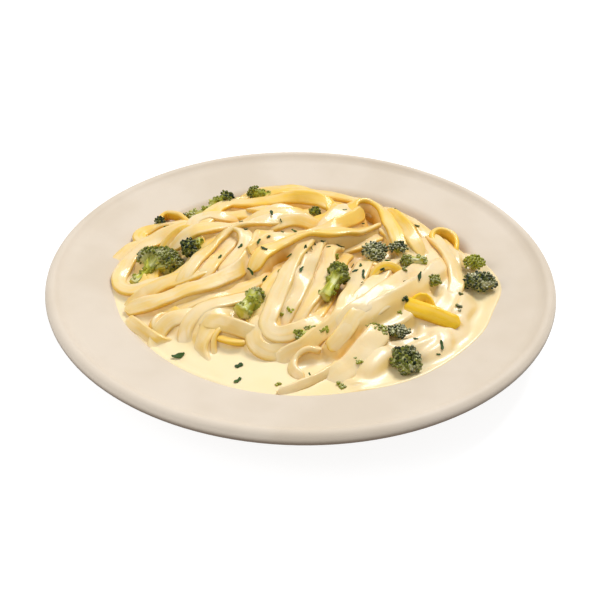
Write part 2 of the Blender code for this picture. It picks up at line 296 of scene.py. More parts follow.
@dataclass(frozen=True)
class PastaFinish:
    """Egg pasta under a skin of cream: ivory on top, butter yellow where it is bare, yellower on its sides
    partly as painted shade, and dark gold as painted shade in the gaps and on steep faces.
    """

    cream: Colour = linear(250, 228, 184)
    egg: Colour = linear(249, 205, 94)
    bare: Colour = linear(254, 204, 30)
    # Painted shade: dark gold laid into the gaps between noodles and onto steep faces.
    deep: Colour = linear(202, 152, 12)
    film: Colour = linear(249, 226, 181)

    def material(self) -> bpy.types.Material:
        """Builds the pasta.

        Returns:
            The material.
        """
        graph = Graph("egg_pasta")
        streak = graph.grain(0.05, 1.6).step(0.38, 0.64)
        coat = graph.noise(75.0, 3.0).step(0.44, 0.6)
        patch = graph.noise(17.0, 1.0).step(0.45, 0.62)
        bareness = graph.attribute("bareness")
        depth = graph.attribute("depth")
        # Faces that tilt away from level go yellower, partly as cream runs off them and partly as painted
        # shade.
        slope = (1 - graph.upward()).step(0.04, 0.55)
        egg_tone_and_side_shade = coat * 0.3 + patch * 0.4 + streak * 0.3 + slope * 0.68
        colour = graph.mix(egg_tone_and_side_shade.clamped(), self.cream, self.egg)
        colour = graph.mix((bareness * (streak * 0.5 + 0.75)).clamped(), colour, self.bare)
        steep = (1 - graph.upward()).step(0.4, 1.0)
        # Painted shade: buried places and steep faces go towards the deep colour.
        colour = graph.mix((depth * 0.95 + steep * 0.45).clamped(), colour, self.deep)
        # Less cream film on steep faces, so that the painted shade there still shows.
        colour = graph.mix(graph.attribute("creamed") * (1 - steep * 0.6), colour, self.film)
        graph.bump(graph.noise(130.0, 2.0) + streak * 0.2 + graph.noise(420.0, 2.0) * 0.2, 0.0008, 0.35)
        return graph.dress(
            Base_Color=colour,
            Roughness=coat * 0.12 + streak * 0.1 + depth * 0.25 + 0.3,
            Subsurface_Weight=0.1,
            Subsurface_Radius=(1.0, 0.6, 0.25),
            Subsurface_Scale=0.002,
            Specular_IOR_Level=0.3,
            Coat_Weight=(bareness * -0.2 + 0.45) * (1 - depth),
            Coat_Roughness=0.12,
        )


@dataclass(frozen=True)
class CreamFinish:
    """Thick butter and cheese sauce: pale yellow in the pool, whiter where it films over, gold in random
    clouds and as painted shade on its slopes, and dark gold as painted shade in the gaps of the heap.
    """

    pool: Colour = linear(252, 233, 188)
    film: Colour = linear(249, 226, 181)
    golden_tone_and_shade: Colour = linear(248, 210, 124)
    # Painted shade for sauce that lies deep in the gaps.
    deep: Colour = linear(212, 156, 24)

    def material(self) -> bpy.types.Material:
        """Builds the sauce.

        Returns:
            The material.
        """
        graph = Graph("cream_sauce")
        film = graph.attribute("film")
        cloud = graph.noise(30.0, 2.0)
        colour = graph.mix(film, self.pool, self.film)
        # Random clouds of gold, and painted shade that turns sloping faces gold.
        slope = (1 - graph.upward()).step(0.03, 0.4)
        colour = graph.mix((cloud.step(0.45, 0.75) * 0.35 + slope * 0.75).clamped(), colour, self.golden_tone_and_shade)
        # Painted shade: sauce deep in the gaps of the heap goes towards the deep colour.
        depth = graph.attribute("depth")
        colour = graph.mix(depth * 0.9, colour, self.deep)
        graph.bump(cloud + graph.noise(240.0, 2.0) * 0.12, 0.0004, 0.25)
        return graph.dress(
            Base_Color=colour,
            Roughness=cloud * 0.14 + depth * 0.3 + 0.24,
            Subsurface_Weight=0.12,
            Subsurface_Radius=(1.0, 0.75, 0.4),
            Subsurface_Scale=0.002,
            Specular_IOR_Level=0.35,
            Coat_Weight=(1 - depth) * 0.22,
            Coat_Roughness=0.12,
        )


@dataclass(frozen=True)
class BroccoliFinish:
    """Steamed broccoli: lime stalks, dark buds, and cream caught between the buds."""

    stalk: Colour = linear(202, 200, 54)
    rind: Colour = linear(132, 142, 16)
    bud: Colour = linear(12, 40, 16)
    tip: Colour = linear(162, 166, 28)
    cream: Colour = linear(238, 234, 192)

    def material(self, name: str, creaminess: float) -> bpy.types.Material:
        """Builds the finish of one floret.

        Args:
            name: The material's name.
            creaminess: Share of the floret that cream has washed over.

        Returns:
            The material.
        """
        graph = Graph(name)
        tone = graph.attribute("tone")
        flesh = graph.mix(graph.noise(210.0, 2.0).step(0.45, 0.7) * 0.5, self.stalk, self.cream)
        flesh = graph.mix(tone, flesh, self.rind)
        buds = graph.mix(tone, self.bud, self.tip)
        colour = graph.mix(graph.attribute("kind"), flesh, buds)
        wash = graph.noise(170.0, 2.0).step(0.7 - 0.4 * creaminess, 0.76 - 0.36 * creaminess)
        caught = graph.attribute("inner") * (0.06 + 0.95 * creaminess)
        lying = graph.upward().step(0.45, 0.95) * graph.noise(95.0, 2.0).step(0.46, 0.56)
        cover = (wash * (0.3 + 0.62 * creaminess) + caught + lying * 1.6 * creaminess).clamped()
        colour = graph.mix(cover * 0.96, colour, self.cream)
        graph.bump(graph.noise(900.0, 2.0), 0.0002, 0.3)
        return graph.dress(
            Base_Color=colour,
            Roughness=cover * -0.2 + 0.45,
            Specular_IOR_Level=0.25,
            Coat_Weight=cover * 0.5 + 0.12,
            Coat_Roughness=0.15,
        )


@dataclass(frozen=True)
class HerbFinish:
    """Chopped parsley, dark and slightly moist."""

    leaf: Colour = linear(28, 60, 18)
    vein: Colour = linear(72, 104, 34)

    def material(self) -> bpy.types.Material:
        """Builds the herb.

        Returns:
            The material.
        """
        graph = Graph("chopped_parsley")
        tone = graph.attribute("tone")
        colour = graph.mix((tone * graph.noise(600.0, 2.0) * 1.6).clamped(), self.leaf, self.vein)
        graph.bump(graph.noise(1500.0, 2.0), 0.0001, 0.4)
        return graph.dress(Base_Color=colour, Roughness=0.6, Specular_IOR_Level=0.3)


@dataclass(frozen=True)
class TableFinish:
    """The plain pale surface that the plate stands on, bright enough to read as white."""

    body: Colour = (0.3, 0.3, 0.3)
    glow: Colour = (1.0, 1.0, 1.0)
    glow_strength: float = 0.88

    def material(self) -> bpy.types.Material:
        """Builds the surface.

        Returns:
            The material.
        """
        graph = Graph("pale_table")
        graph.bump(graph.noise(40.0, 2.0), 0.0002, 0.05)
        return graph.dress(
            Base_Color=self.body,
            Roughness=0.75,
            Specular_IOR_Level=0.2,
            Emission_Color=self.glow,
            Emission_Strength=self.glow_strength,
        )


# --- Modelling helpers ---


def deselect() -> None:
    """Leaves nothing selected in object mode."""
    if bpy.context.mode != "OBJECT":
        bpy.ops.object.mode_set(mode="OBJECT")
    bpy.ops.object.select_all(action="DESELECT")


def focus(item: bpy.types.Object) -> None:
    """Leaves one piece selected and active in object mode.

    Args:
        item: The piece.
    """
    deselect()
    bpy.context.view_layer.objects.active = item
    item.select_set(True)


def edit(item: bpy.types.Object, pick: Pick) -> None:
    """Opens a mesh in edit mode with nothing selected.

    Args:
        item: The mesh object.
        pick: What is to be selected.
    """
    focus(item)
    bpy.ops.object.mode_set(mode="EDIT")
    bpy.ops.mesh.select_mode(type=pick.value)
    bpy.ops.mesh.select_all(action="DESELECT")


def edit_edges(item: bpy.types.Object, wanted: Callable[[Vector, Vector], bool]) -> None:
    """Opens a mesh in edit mode with some edges selected.

    Args:
        item: The mesh object.
        wanted: The test on an edge's two ends that picks it.
    """
    edit(item, Pick.EDGE)
    bpy.ops.object.mode_set(mode="OBJECT")
    points = item.data.vertices
    for edge in item.data.edges:
        edge.select = wanted(points[edge.vertices[0]].co, points[edge.vertices[1]].co)
    bpy.ops.object.mode_set(mode="EDIT")


def settle(item: bpy.types.Object) -> None:
    """Puts a piece's place, turn and size into its mesh."""
    focus(item)
    bpy.ops.object.transform_apply(location=True, rotation=True, scale=True)


def close_outward() -> None:
    """Turns every normal of the mesh in edit mode outwards, and leaves edit mode."""
    bpy.ops.mesh.select_all(action="SELECT")
    bpy.ops.mesh.normals_make_consistent(inside=False)
    deselect()


def mesh_points(item: bpy.types.Object) -> np.ndarray:
    """The vertices of a mesh, as rows of x, y and z.

    Args:
        item: The mesh object.

    Returns:
        The rows.
    """
    points = np.empty(len(item.data.vertices) * 3)
    item.data.vertices.foreach_get("co", points)
    return points.reshape(-1, 3)


@dataclass(frozen=True)
class Shape:
    """A modelled shape that is ready to be copied: its points and its faces."""

    points: np.ndarray
    faces: list[tuple[int, ...]]

    @classmethod
    def taken(cls, item: bpy.types.Object) -> "Shape":
        """Takes the shape of an object and removes the object.

        Args:
            item: The object.

        Returns:
            Its shape.
        """
        points = mesh_points(item)
        faces = [tuple(polygon.vertices) for polygon in item.data.polygons]
        mesh = item.data
        bpy.data.objects.remove(item)
        bpy.data.meshes.remove(mesh)
        return cls(points, faces)


class Batch:
    """Copies of modelled shapes, each with its own points, that become one mesh."""

    def __init__(self) -> None:
        """Starts with no copies."""
        self.points: list[np.ndarray] = []
        self.faces: list[tuple[int, ...]] = []
        self.marks: dict[str, list[np.ndarray]] = {}
        self.count = 0

    def add(self, points: np.ndarray, faces: Iterable[tuple[int, ...]], **marks: Any) -> None:
        """Adds one copy.

        Args:
            points: Its vertices, in millimetres.
            faces: Its faces.
            **marks: Numbers to keep at its vertices, one each or one for all.
        """
        self.points.append(points)
        self.faces.extend(tuple(corner + self.count for corner in face) for face in faces)
        for name, value in marks.items():
            self.marks.setdefault(name, []).append(np.broadcast_to(value, (len(points),)))
        self.count += len(points)

    def build(self, name: str, material: bpy.types.Material, angle: float = 60.0) -> bpy.types.Object:
        """Makes the mesh object.

        Args:
            name: The object's name.
            material: Its finish.
            angle: Edges sharper than this, in degrees, stay sharp.

        Returns:
            The object.
        """
        mesh = bpy.data.meshes.new(name)
        mesh.from_pydata((np.concatenate(self.points) * MM).tolist(), [], self.faces)
        item = bpy.data.objects.new(name, mesh)
        bpy.context.scene.collection.objects.link(item)
        for mark, rows in self.marks.items():
            layer = mesh.attributes.new(mark, "FLOAT", "POINT")
            layer.data.foreach_set("value", np.concatenate(rows).astype(np.float32))
        mesh.materials.append(material)
        smooth(item, angle)
        return item


def random_turn(random: np.random.Generator) -> np.ndarray:
    """A random rotation, as a matrix."""
    turned, _ = np.linalg.qr(random.normal(size=(3, 3)))
    return turned * np.sign(np.linalg.det(turned))


def smooth(item: bpy.types.Object, angle: float) -> None:
    """Shades a piece smooth, apart from edges sharper than an angle in degrees."""
    focus(item)
    bpy.ops.object.shade_smooth_by_angle(angle=math.radians(angle))


def hand_over(item: bpy.types.Object, slot: Slot, *nodes: str) -> None:
    """Gives a finished piece to the frame.

    Args:
        item: The piece.
        slot: The material slot for the piece; not used.
        *nodes: The CAD nodes that it stands for.
    """
    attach(item, BODY)
    if nodes:
        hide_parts(*nodes)
    item.data.calc_loop_triangles()
    LOG.info("%s: %d triangles", item.name, len(item.data.loop_triangles))


def arc(centre: tuple[float, float], radius: float, start: float, end: float, steps: int) -> list:
    """Points along an arc in a profile.

    Args:
        centre: Distance from the axis and height of its centre.
        radius: Its radius.
        start: Where it starts, in degrees.
        end: Where it ends, in degrees.
        steps: How many steps it has.

    Returns:
        The points, as (distance, height).
    """
    turns = [math.radians(start + (end - start) * step / steps) for step in range(steps + 1)]
    return [(centre[0] + radius * math.cos(turn), centre[1] + radius * math.sin(turn)) for turn in turns]


# --- Plate ---


@dataclass
class Plate:
    """The turned stoneware plate: a coupe well, a broad rim and a rolled edge."""

    floor_radius: float = 67.6
    floor_height: float = 7.0
    wall_radius: float = 33.0
    wall_angle: float = 50.0
    shoulder_radius: float = 8.0
    rim_slope: float = 7.0
    floor_rings: tuple[float, ...] = (0.0, 12.0, 34.0, 56.0)
    rim_rings: tuple[float, ...] = (104.0, 110.0, 116.0, 119.0, 121.5)
    roll_arc: tuple[float, float] = (132.0, -110.0)
    roll_radius: float = 3.5
    roll_height: float = 23.5
    wall_thickness: float = 5.0
    foot_inner: float = 69.5
    foot_outer: float = 75.5
    foot_recess: float = 3.0
    foot_chamfer: float = 0.7
    under_rings: tuple[float, ...] = (34.0, 0.0)
    steps: int = 144
    finish: GlazeFinish = GlazeFinish()

    def __post_init__(self) -> None:
        """Works out the centres that the profile's arcs turn about."""
        reach = self.wall_radius + self.shoulder_radius
        turn = math.radians(self.wall_angle)
        self.wall = (self.floor_radius, self.floor_height + self.wall_radius)
        self.shoulder = (
            self.wall[0] + reach * math.sin(turn),
            self.wall[1] - reach * math.cos(turn),
        )
        self.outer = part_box("plate")[1].x / MM
        self.roll = (self.outer - self.roll_radius, self.roll_height)

    def height(self, radius: np.ndarray) -> np.ndarray:
        """Height of the plate's upper surface.

        Args:
            radius: Distances from the axis.

        Returns:
            The heights.
        """
        radius = np.asarray(radius, float)
        wall_end = self.wall[0] + self.wall_radius * math.sin(math.radians(self.wall_angle))
        slope = math.radians(self.rim_slope)
        shoulder_end = self.shoulder[0] - self.shoulder_radius * math.sin(slope)
        bowl = self.wall[1] - np.sqrt(np.clip(self.wall_radius**2 - (radius - self.wall[0]) ** 2, 0, None))
        hump = np.clip(self.shoulder_radius**2 - (radius - self.shoulder[0]) ** 2, 0, None)
        crest = self.shoulder[1] + np.sqrt(hump)
        rim = self.shoulder[1] + self.shoulder_radius * math.cos(slope)
        rim = rim + (radius - shoulder_end) * math.tan(slope)
        inside = np.where(radius <= self.floor_radius, self.floor_height, bowl)
        return np.where(radius <= wall_end, inside, np.where(radius <= shoulder_end, crest, rim))

    def profile(self) -> list[tuple[float, float]]:
        """The plate's outline, over the top, round the roll and back underneath.

        Returns:
            Points as (distance from the axis, height).
        """
        turn, slope = self.wall_angle, self.rim_slope
        points = [(ring, self.floor_height) for ring in self.floor_rings]
        points += arc(self.wall, self.wall_radius, -90.0, turn - 90.0, 12)
        points += arc(self.shoulder, self.shoulder_radius, 90.0 + turn, 90.0 + slope, 8)[1:]
        points += [(ring, float(self.height(ring))) for ring in self.rim_rings]
        points += arc(self.roll, self.roll_radius, *self.roll_arc, 18)
        under = self.shoulder_radius - self.wall_thickness
        points += arc(self.shoulder, under, 90.0 + slope, 90.0 + turn, 4)
        points += arc(self.wall, self.wall_radius + self.wall_thickness, turn - 90.0, -75.0, 9)[1:]
        chamfer, recess = self.foot_chamfer, self.foot_recess
        points += [(self.foot_outer + chamfer, chamfer), (self.foot_outer, 0.0)]
        points += [(self.foot_inner, 0.0), (self.foot_inner - chamfer, chamfer)]
        points += [(ring, recess) for ring in (self.foot_inner - recess, *self.under_rings)]
        return points

    def build(self) -> bpy.types.Object:
        """Turns the profile round the axis.

        Returns:
            The plate.
        """
        profile = self.profile()
        deselect()
        bpy.ops.mesh.primitive_plane_add(size=MM)
        item = bpy.context.object
        item.name = "dinner_plate"
        edit(item, Pick.VERTEX)
        bpy.ops.mesh.select_all(action="SELECT")
        bpy.ops.mesh.merge(type="CENTER")
        bpy.ops.transform.translate(value=(profile[0][0] * MM, 0.0, profile[0][1] * MM))
        for last, point in zip(profile, profile[1:]):
            move = ((point[0] - last[0]) * MM, 0.0, (point[1] - last[1]) * MM)
            bpy.ops.mesh.extrude_region_move(TRANSFORM_OT_translate={"value": move})
        bpy.ops.mesh.select_all(action="SELECT")
        bpy.ops.mesh.spin(steps=self.steps, angle=math.tau, center=(0, 0, 0), axis=(0, 0, 1))
        bpy.ops.mesh.select_all(action="SELECT")
        bpy.ops.mesh.remove_doubles(threshold=0.005 * MM)
        close_outward()
        item.data.materials.append(self.finish.material())
        smooth(item, 50.0)
        settle(item)
        return item


# --- Height map ---


class HeightMap:
    """Height of the food so far, on a square grid of cells over the plate."""

    reach: float = 112.0
    cell: float = 0.7

    def __init__(self, heights: np.ndarray) -> None:
        """Starts from a grid of heights, a row for each y."""
        self.z = heights

    @classmethod
    def grid(cls) -> tuple[np.ndarray, np.ndarray]:
        """The x and y of every cell.

        Returns:
            The grids of x and of y.
        """
        count = int(round(2 * cls.reach / cls.cell)) + 1
        axis = np.linspace(-cls.reach, cls.reach, count)
        return np.meshgrid(axis, axis)

    def _cells(self, x: np.ndarray, y: np.ndarray) -> tuple[np.ndarray, np.ndarray]:
        """Places as row and column numbers with fractions, kept on the grid.

        Args:
            x: The places' x.
            y: The places' y.

        Returns:
            The row numbers and the column numbers.
        """
        top = self.z.shape[0] - 1.001
        column = np.clip((np.asarray(x) + self.reach) / self.cell, 0, top)
        row = np.clip((np.asarray(y) + self.reach) / self.cell, 0, top)
        return row, column

    def at(self, x: np.ndarray, y: np.ndarray) -> np.ndarray:
        """Height at any places, read between the cells.

        Args:
            x: The places' x.
            y: The places' y.

        Returns:
            The heights.
        """
        row, column = self._cells(x, y)
        r, c = row.astype(int), column.astype(int)
        u, v = row - r, column - c
        low = self.z[r, c] * (1 - v) + self.z[r, c + 1] * v
        high = self.z[r + 1, c] * (1 - v) + self.z[r + 1, c + 1] * v
        return low * (1 - u) + high * u

    def heap(self, x: np.ndarray, y: np.ndarray, z: np.ndarray) -> None:
        """Raises the cells under a surface's points to those points."""
        row, column = self._cells(x, y)
        np.maximum.at(self.z, ((row + 0.5).astype(int), (column + 0.5).astype(int)), z)

    def blurred(self, passes: int) -> "HeightMap":
        """A softer copy, each pass spreading about 0.7 cells.

        Args:
            passes: How often each cell is mixed with its neighbours.

        Returns:
            The copy.
        """
        z = self.z.copy()
        for _ in range(passes):
            for axis in (0, 1):
                z = 0.5 * z + 0.25 * (np.roll(z, 1, axis) + np.roll(z, -1, axis))
        return HeightMap(z)

    def bridged(self, radius: float) -> "HeightMap":
        """The surface that a ball rolling over the food would leave: gaps are filled.

        Args:
            radius: The ball's radius.

        Returns:
            The filled surface.
        """
        span = int(radius / self.cell)
        steps = range(-span, span + 1)
        offsets = [(i, j, radius**2 - (i * i + j * j) * self.cell**2) for i in steps for j in steps]
        offsets = [(i, j, math.sqrt(rest)) for i, j, rest in offsets if rest >= 0]
        grown = np.full_like(self.z, -np.inf)
        for i, j, rise in offsets:
            grown = np.maximum(grown, np.roll(self.z, (i, j), (0, 1)) + rise)
        shrunk = np.full_like(self.z, np.inf)
        for i, j, rise in offsets:
            shrunk = np.minimum(shrunk, np.roll(grown, (i, j), (0, 1)) - rise)
        return HeightMap(shrunk)


@dataclass
class Mound:
    """The heap's overall form, and the pool of sauce that it stands in."""

    peak: float = 40.0
    centre: tuple[float, float] = (0.0, 2.0)
    radius: float = 95.0
    pool_bite: float = 20.0
    pool_heading: float = -100.0
    pool_width: float = 38.0
    crown_power: float = 2.2
    pool_level: float = 21.0
    back_level: float = 17.0
    back_reach: float = 97.5

    def level(self, y: np.ndarray) -> np.ndarray:
        """Level of the sauce: flat in front, sinking towards the back."""
        share = np.clip(np.asarray(y) / self.back_reach, 0.0, 1.0)
        return self.pool_level - (self.pool_level - self.back_level) * share**2

    def reach(self, turn: np.ndarray) -> np.ndarray:
        """Distance from the heap's centre to its edge, in a direction given in radians."""
        off = (np.degrees(turn) - self.pool_heading + 180.0) % 360.0 - 180.0
        return self.radius - self.pool_bite * np.exp(-((off / self.pool_width) ** 2))

    def crown(self, x: np.ndarray, y: np.ndarray) -> np.ndarray:
        """How far up the heap a place is: 1 at the peak, 0 at its edge and outside.

        Args:
            x: The places' x.
            y: The places' y.

        Returns:
            The shares.
        """
        dx, dy = x - self.centre[0], y - self.centre[1]
        share = np.hypot(dx, dy) / self.reach(np.arctan2(dy, dx))
        return np.clip(1.0 - share**self.crown_power, 0.0, 1.0)

    def height(self, x: np.ndarray, y: np.ndarray) -> np.ndarray:
        """Height of the heap's rounded top."""
        level = self.level(y)
        return level + (self.peak - level) * self.crown(x, y)


# --- Noodles ---


def through(points: np.ndarray, spacing: float) -> np.ndarray:
    """A smooth line through points, read at even spacing along its plan.

    Args:
        points: Rows whose first two numbers are the plan's x and y; the rest go with them.
        spacing: Distance between the rows of the result.

    Returns:
        The line's rows.
    """
    ends = np.vstack([2 * points[0] - points[1], points, 2 * points[-1] - points[-2]])
    share = np.linspace(0.0, 1.0, 14, endpoint=False)[:, None]
    rows = []
    for before, a, b, after in zip(ends, ends[1:], ends[2:], ends[3:]):
        bend = (2 * before - 5 * a + 4 * b - after) * share**2
        twist = (3 * a - before - 3 * b + after) * share**3
        rows.append(0.5 * (2 * a + (b - before) * share + bend + twist))
    line = np.vstack(rows + [points[-1:]])
    gaps = np.hypot(*np.diff(line[:, :2], axis=0).T)
    run = np.concatenate([[0.0], np.cumsum(gaps)])
    count = max(4, int(round(run[-1] / spacing)) + 1)
    even = np.linspace(0.0, run[-1], count)
    return np.stack([np.interp(even, run, column) for column in line.T], axis=1)


def spread_along(spots: np.ndarray, values: np.ndarray) -> np.ndarray:
    """Rows of numbers read at spots between them, by row number with fractions."""
    rows = np.arange(len(values))
    return np.stack([np.interp(spots, rows, column) for column in values.T], axis=1)


def eased(values: np.ndarray, passes: int) -> np.ndarray:
    """Softens numbers along a line, keeping its ends free.

    Args:
        values: The numbers.
        passes: How often each is mixed with its neighbours.

    Returns:
        The softer numbers.
    """
    values = values.copy()
    for _ in range(passes):
        values[1:-1] = 0.5 * values[1:-1] + 0.25 * (values[:-2] + values[2:])
        values[0] = 0.5 * values[0] + 0.5 * values[1]
        values[-1] = 0.5 * values[-1] + 0.5 * values[-2]
    return values


@dataclass(frozen=True)
class Strand:
    """One noodle: the places it passes over, and how it lies there.

    A place is (x, y), (x, y, rise) or (x, y, rise, lean): rise lifts it off what it lies on,
    and lean in degrees turns its left side up, on edge at 90. Bareness is how little cream it
    wears, coated how much has run over it, and cup how far its edges curl up. A proud noodle
    stands clear of the cream that covers its neighbours. Its ends are tucked down by tuck
    over a run of tuck_run, and reach their full width over a run of blunt.
    """

    places: tuple[tuple[float, ...], ...]
    bareness: float = 0.15
    width: float = 8.3
    lean: float = 0.0
    cup: float = 0.1
    tuck: float = 5.0
    tuck_run: float = 15.0
    proud: bool = False
    blunt: float = 0.0
    coated: float = 0.0

    def rows(self) -> np.ndarray:
        """The places as full rows of x, y, rise and lean."""
        filled = [(*place, *(0.0, self.lean)[len(place) - 2 :]) for place in self.places]
        return np.array(filled, float)


class Blank:
    """The straight noodle that every noodle is copied from, with its rings of points."""

    width: float = 8.3
    thickness: float = 2.9
    edge_radius: float = 1.3
    _made: dict[int, Shape] = {}

    @classmethod
    def of(cls, rings: int) -> Shape:
        """The blank with a number of rings, from -0.5 to 0.5 along x, 1 wide and 1 thick.

        Args:
            rings: How many rings of points it has.

        Returns:
            The shape.
        """
        if rings not in cls._made:
            cls._made[rings] = cls._model(rings)
        return cls._made[rings]

    @classmethod
    def _model(cls, rings: int) -> Shape:
        """Models a blank: a bar with rounded long edges, cut across into rings.

        Args:
            rings: How many rings of points it has.

        Returns:
            The shape.
        """
        deselect()
        bpy.ops.mesh.primitive_cube_add(size=1.0)
        item = bpy.context.object
        item.scale = (1.0, cls.width, cls.thickness)
        settle(item)
        edit_edges(item, lambda a, b: abs(a.x - b.x) > 0.5)
        bpy.ops.mesh.bevel(offset=cls.edge_radius, segments=3, affect="EDGES")
        edit_edges(item, lambda a, b: abs(a.x - b.x) > 0.5)
        bpy.ops.mesh.subdivide(number_cuts=rings - 2)
        bpy.ops.mesh.select_all(action="SELECT")
        bpy.ops.mesh.bisect(plane_co=(0, 0, 0), plane_no=(0, 1, 0))
        deselect()
        item.data.transform(Matrix.Diagonal((1.0, 1.0 / cls.width, 1.0 / cls.thickness, 1.0)))
        return Shape.taken(item)


@dataclass
class Laid:
    """A noodle that has been laid: its centre line, and its width and thickness directions."""

    strand: Strand
    line: np.ndarray
    across: np.ndarray
    above: np.ndarray
    ring_spacing: float


@dataclass
class NoodleHeap:
    """The fettuccine: a tangled bed, and over it the noodles that show.

    The bed's noodles stray from those that show, in turn, shift and scale, and others curl
    in arcs round the foot of the heap. Turns are in degrees, but stray_turn is in radians.
    """

    mound: Mound
    plate: Plate
    bed_depth: float = 6.4
    core_sink: float = 1.2
    core_gap: float = 0.1
    bed_layers: int = 9
    bed_slack: float = 0.5
    bed_level: float = 2.6
    settling: float = 2.3
    hollow_depth: float = 5.2
    hollow_radius: float = 42.0
    hollow_centre: tuple[float, float] = (-4.0, 6.0)
    ring_spacing: float = 1.7
    bed_ring_spacing: float = 3.2
    spacing: float = 1.0
    press: float = 0.6
    turn_limit: float = 48.0
    turn_step: float = 6.0
    turn_cost: float = 1.2
    turn_easing: int = 60
    stiffness: int = 150
    cut_end: float = 2.4
    sunk_end: float = 6.0
    stray_turn: float = 0.16
    stray_shift: float = 5.0
    stray_scale: tuple[float, float] = (1.05, 1.3)
    arc_gap: float = 38.0
    arc_turn: tuple[float, float] = (55.0, 80.0)
    arc_reach: tuple[float, float] = (0.66, 0.88)
    # These three set the depth mark, which paints shade into the gaps of the heap.
    skyline_ball: float = 5.0
    buried_start: float = 0.5
    buried_depth: float = 3.2
    seed: int = 11
    finish: PastaFinish = PastaFinish()
    laid: list[Laid] = field(default_factory=list)

    def __post_init__(self) -> None:
        """Starts the height maps, of all noodles, low ones and coated ones, from a hidden core."""
        x, y = HeightMap.grid()
        crown = self.mound.crown(x, y)
        core = self.mound.height(x, y) - self.bed_depth * np.clip(crown * 4.0, 0.0, 1.0) - self.core_sink
        core -= self.bed_sink(x, y) - self.bed_level
        core = np.maximum(core, self.plate.height(np.hypot(x, y)) + self.core_gap)
        self.top, self.bed, self.coated = (HeightMap(core.copy()) for _ in range(3))

    def bed_sink(self, x: np.ndarray, y: np.ndarray) -> np.ndarray:
        """How far the bed's noodles lie under the heap's form: more where many noodles cross."""
        away = np.hypot(x - self.hollow_centre[0], y - self.hollow_centre[1]) / self.hollow_radius
        return self.bed_level + self.hollow_depth * np.exp(-(away**2))

    def lay(self, strand: Strand, hidden: bool = False) -> bool:
        """Drops one noodle on the heap, where it sags onto what is below it.

        Args:
            strand: The noodle.
            hidden: Whether it is part of the bed, which is pressed down to its own level.

        Returns:
            Whether it was laid: the bed takes no more once it is full.
        """
        rows = through(strand.rows(), self.spacing)
        plan, rise, lean = rows[:, :2], rows[:, 2], np.radians(rows[:, 3])
        heading = np.gradient(plan, axis=0)
        heading /= np.linalg.norm(heading, axis=1)[:, None]
        left = np.stack([-heading[:, 1], heading[:, 0]], axis=1)
        turn, height = self._sag(strand, plan, left, lean)
        run = np.arange(len(plan)) * self.spacing
        nearest = np.minimum(run, run[-1] - run)
        tuck = strand.tuck * np.clip(1.0 - nearest / strand.tuck_run, 0.0, 1.0) ** 2
        form = self.mound.height(plan[:, 0], plan[:, 1])
        if hidden:
            level = form - self.bed_sink(plan[:, 0], plan[:, 1])
            if np.mean(height - level) > self.bed_slack:
                return False
            height = np.minimum(height, level)
        else:
            over = np.clip(height - form, 0.0, None)
            height = height - over + self.settling * (1.0 - np.exp(-over / self.settling))
        line = np.column_stack([plan, height + rise - tuck])
        along = np.gradient(line, axis=0)
        along /= np.linalg.norm(along, axis=1)[:, None]
        flat = np.column_stack([left, np.zeros(len(left))])
        upward = np.cross(along, flat)
        cos, sin = np.cos(turn)[:, None], np.sin(turn)[:, None]
        ring_spacing = self.bed_ring_spacing if hidden else self.ring_spacing
        laid = Laid(strand, line, flat * cos + upward * sin, upward * cos - flat * sin, ring_spacing)
        self._stamp(laid, rise)
        self.laid.append(laid)
        return True

    def _sag(
        self, strand: Strand, plan: np.ndarray, left: np.ndarray, lean: np.ndarray
    ) -> tuple[np.ndarray, np.ndarray]:
        """Lets a noodle sag onto what is below it, as far as it can bend.

        Args:
            strand: The noodle.
            plan: The centre line's x and y.
            left: Its leftward directions.
            lean: How far its left side is held up, in radians.

        Returns:
            How far its left side is turned up, in radians, and its centre line's height.
        """
        half = strand.width / 2
        spread = np.linspace(-half, half, 9)
        choices = np.radians(np.arange(-self.turn_limit, self.turn_limit + 1.0, self.turn_step))
        needs = np.stack([self._need(plan, left, spread, turn) for turn in choices], axis=1)
        best = np.argmin(needs + self.turn_cost * np.abs(choices), axis=1)
        natural = eased(choices[best], self.turn_easing)
        turn = natural * np.clip(1.0 - np.abs(lean) / 0.8, 0.0, 1.0) + lean
        need = self._need(plan, left, spread, turn) + Blank.thickness / 2 - self.press
        height = need.copy()
        for _ in range(self.stiffness):
            height = np.maximum(eased(height, 1), need)
        return turn, eased(height, 4)

    def _need(self, plan: np.ndarray, left: np.ndarray, spread: np.ndarray, turn: Any) -> np.ndarray:
        """Lowest height of the centre line that keeps the whole width above the heap.

        Args:
            plan: The centre line's x and y.
            left: Its leftward directions.
            spread: Offsets across the noodle.
            turn: How far its left side is turned up, in radians.

        Returns:
            The heights.
        """
        turn = np.broadcast_to(turn, (len(plan),))
        reach = spread[None, :] * np.cos(turn)[:, None]
        x = plan[:, :1] + left[:, :1] * reach
        y = plan[:, 1:] + left[:, 1:] * reach
        return np.max(self.top.at(x, y) - spread[None, :] * np.sin(turn)[:, None], axis=1)

    def _stamp(self, laid: Laid, rise: np.ndarray) -> None:
        """Adds a noodle's upper surface to the height maps.

        Args:
            laid: The noodle.
            rise: How far it is lifted off what it lies on, at each row of its line.
        """
        step = 0.35
        rows = np.arange(len(laid.line))
        fine = np.linspace(0, len(laid.line) - 1, int(len(laid.line) * self.spacing / step))
        line, across, above = (spread_along(fine, part) for part in (laid.line, laid.across, laid.above))
        low = np.interp(fine, rows, rise) < 2.0
        half = laid.strand.width / 2
        for offset in np.arange(-half + 0.1, half, step):
            for lift in (-Blank.thickness / 2, Blank.thickness / 2):
                skin = line + across * offset + above * lift
                self.top.heap(*skin.T)
                self.bed.heap(*skin[low].T)
                if not laid.strand.proud:
                    self.coated.heap(*skin[low].T)

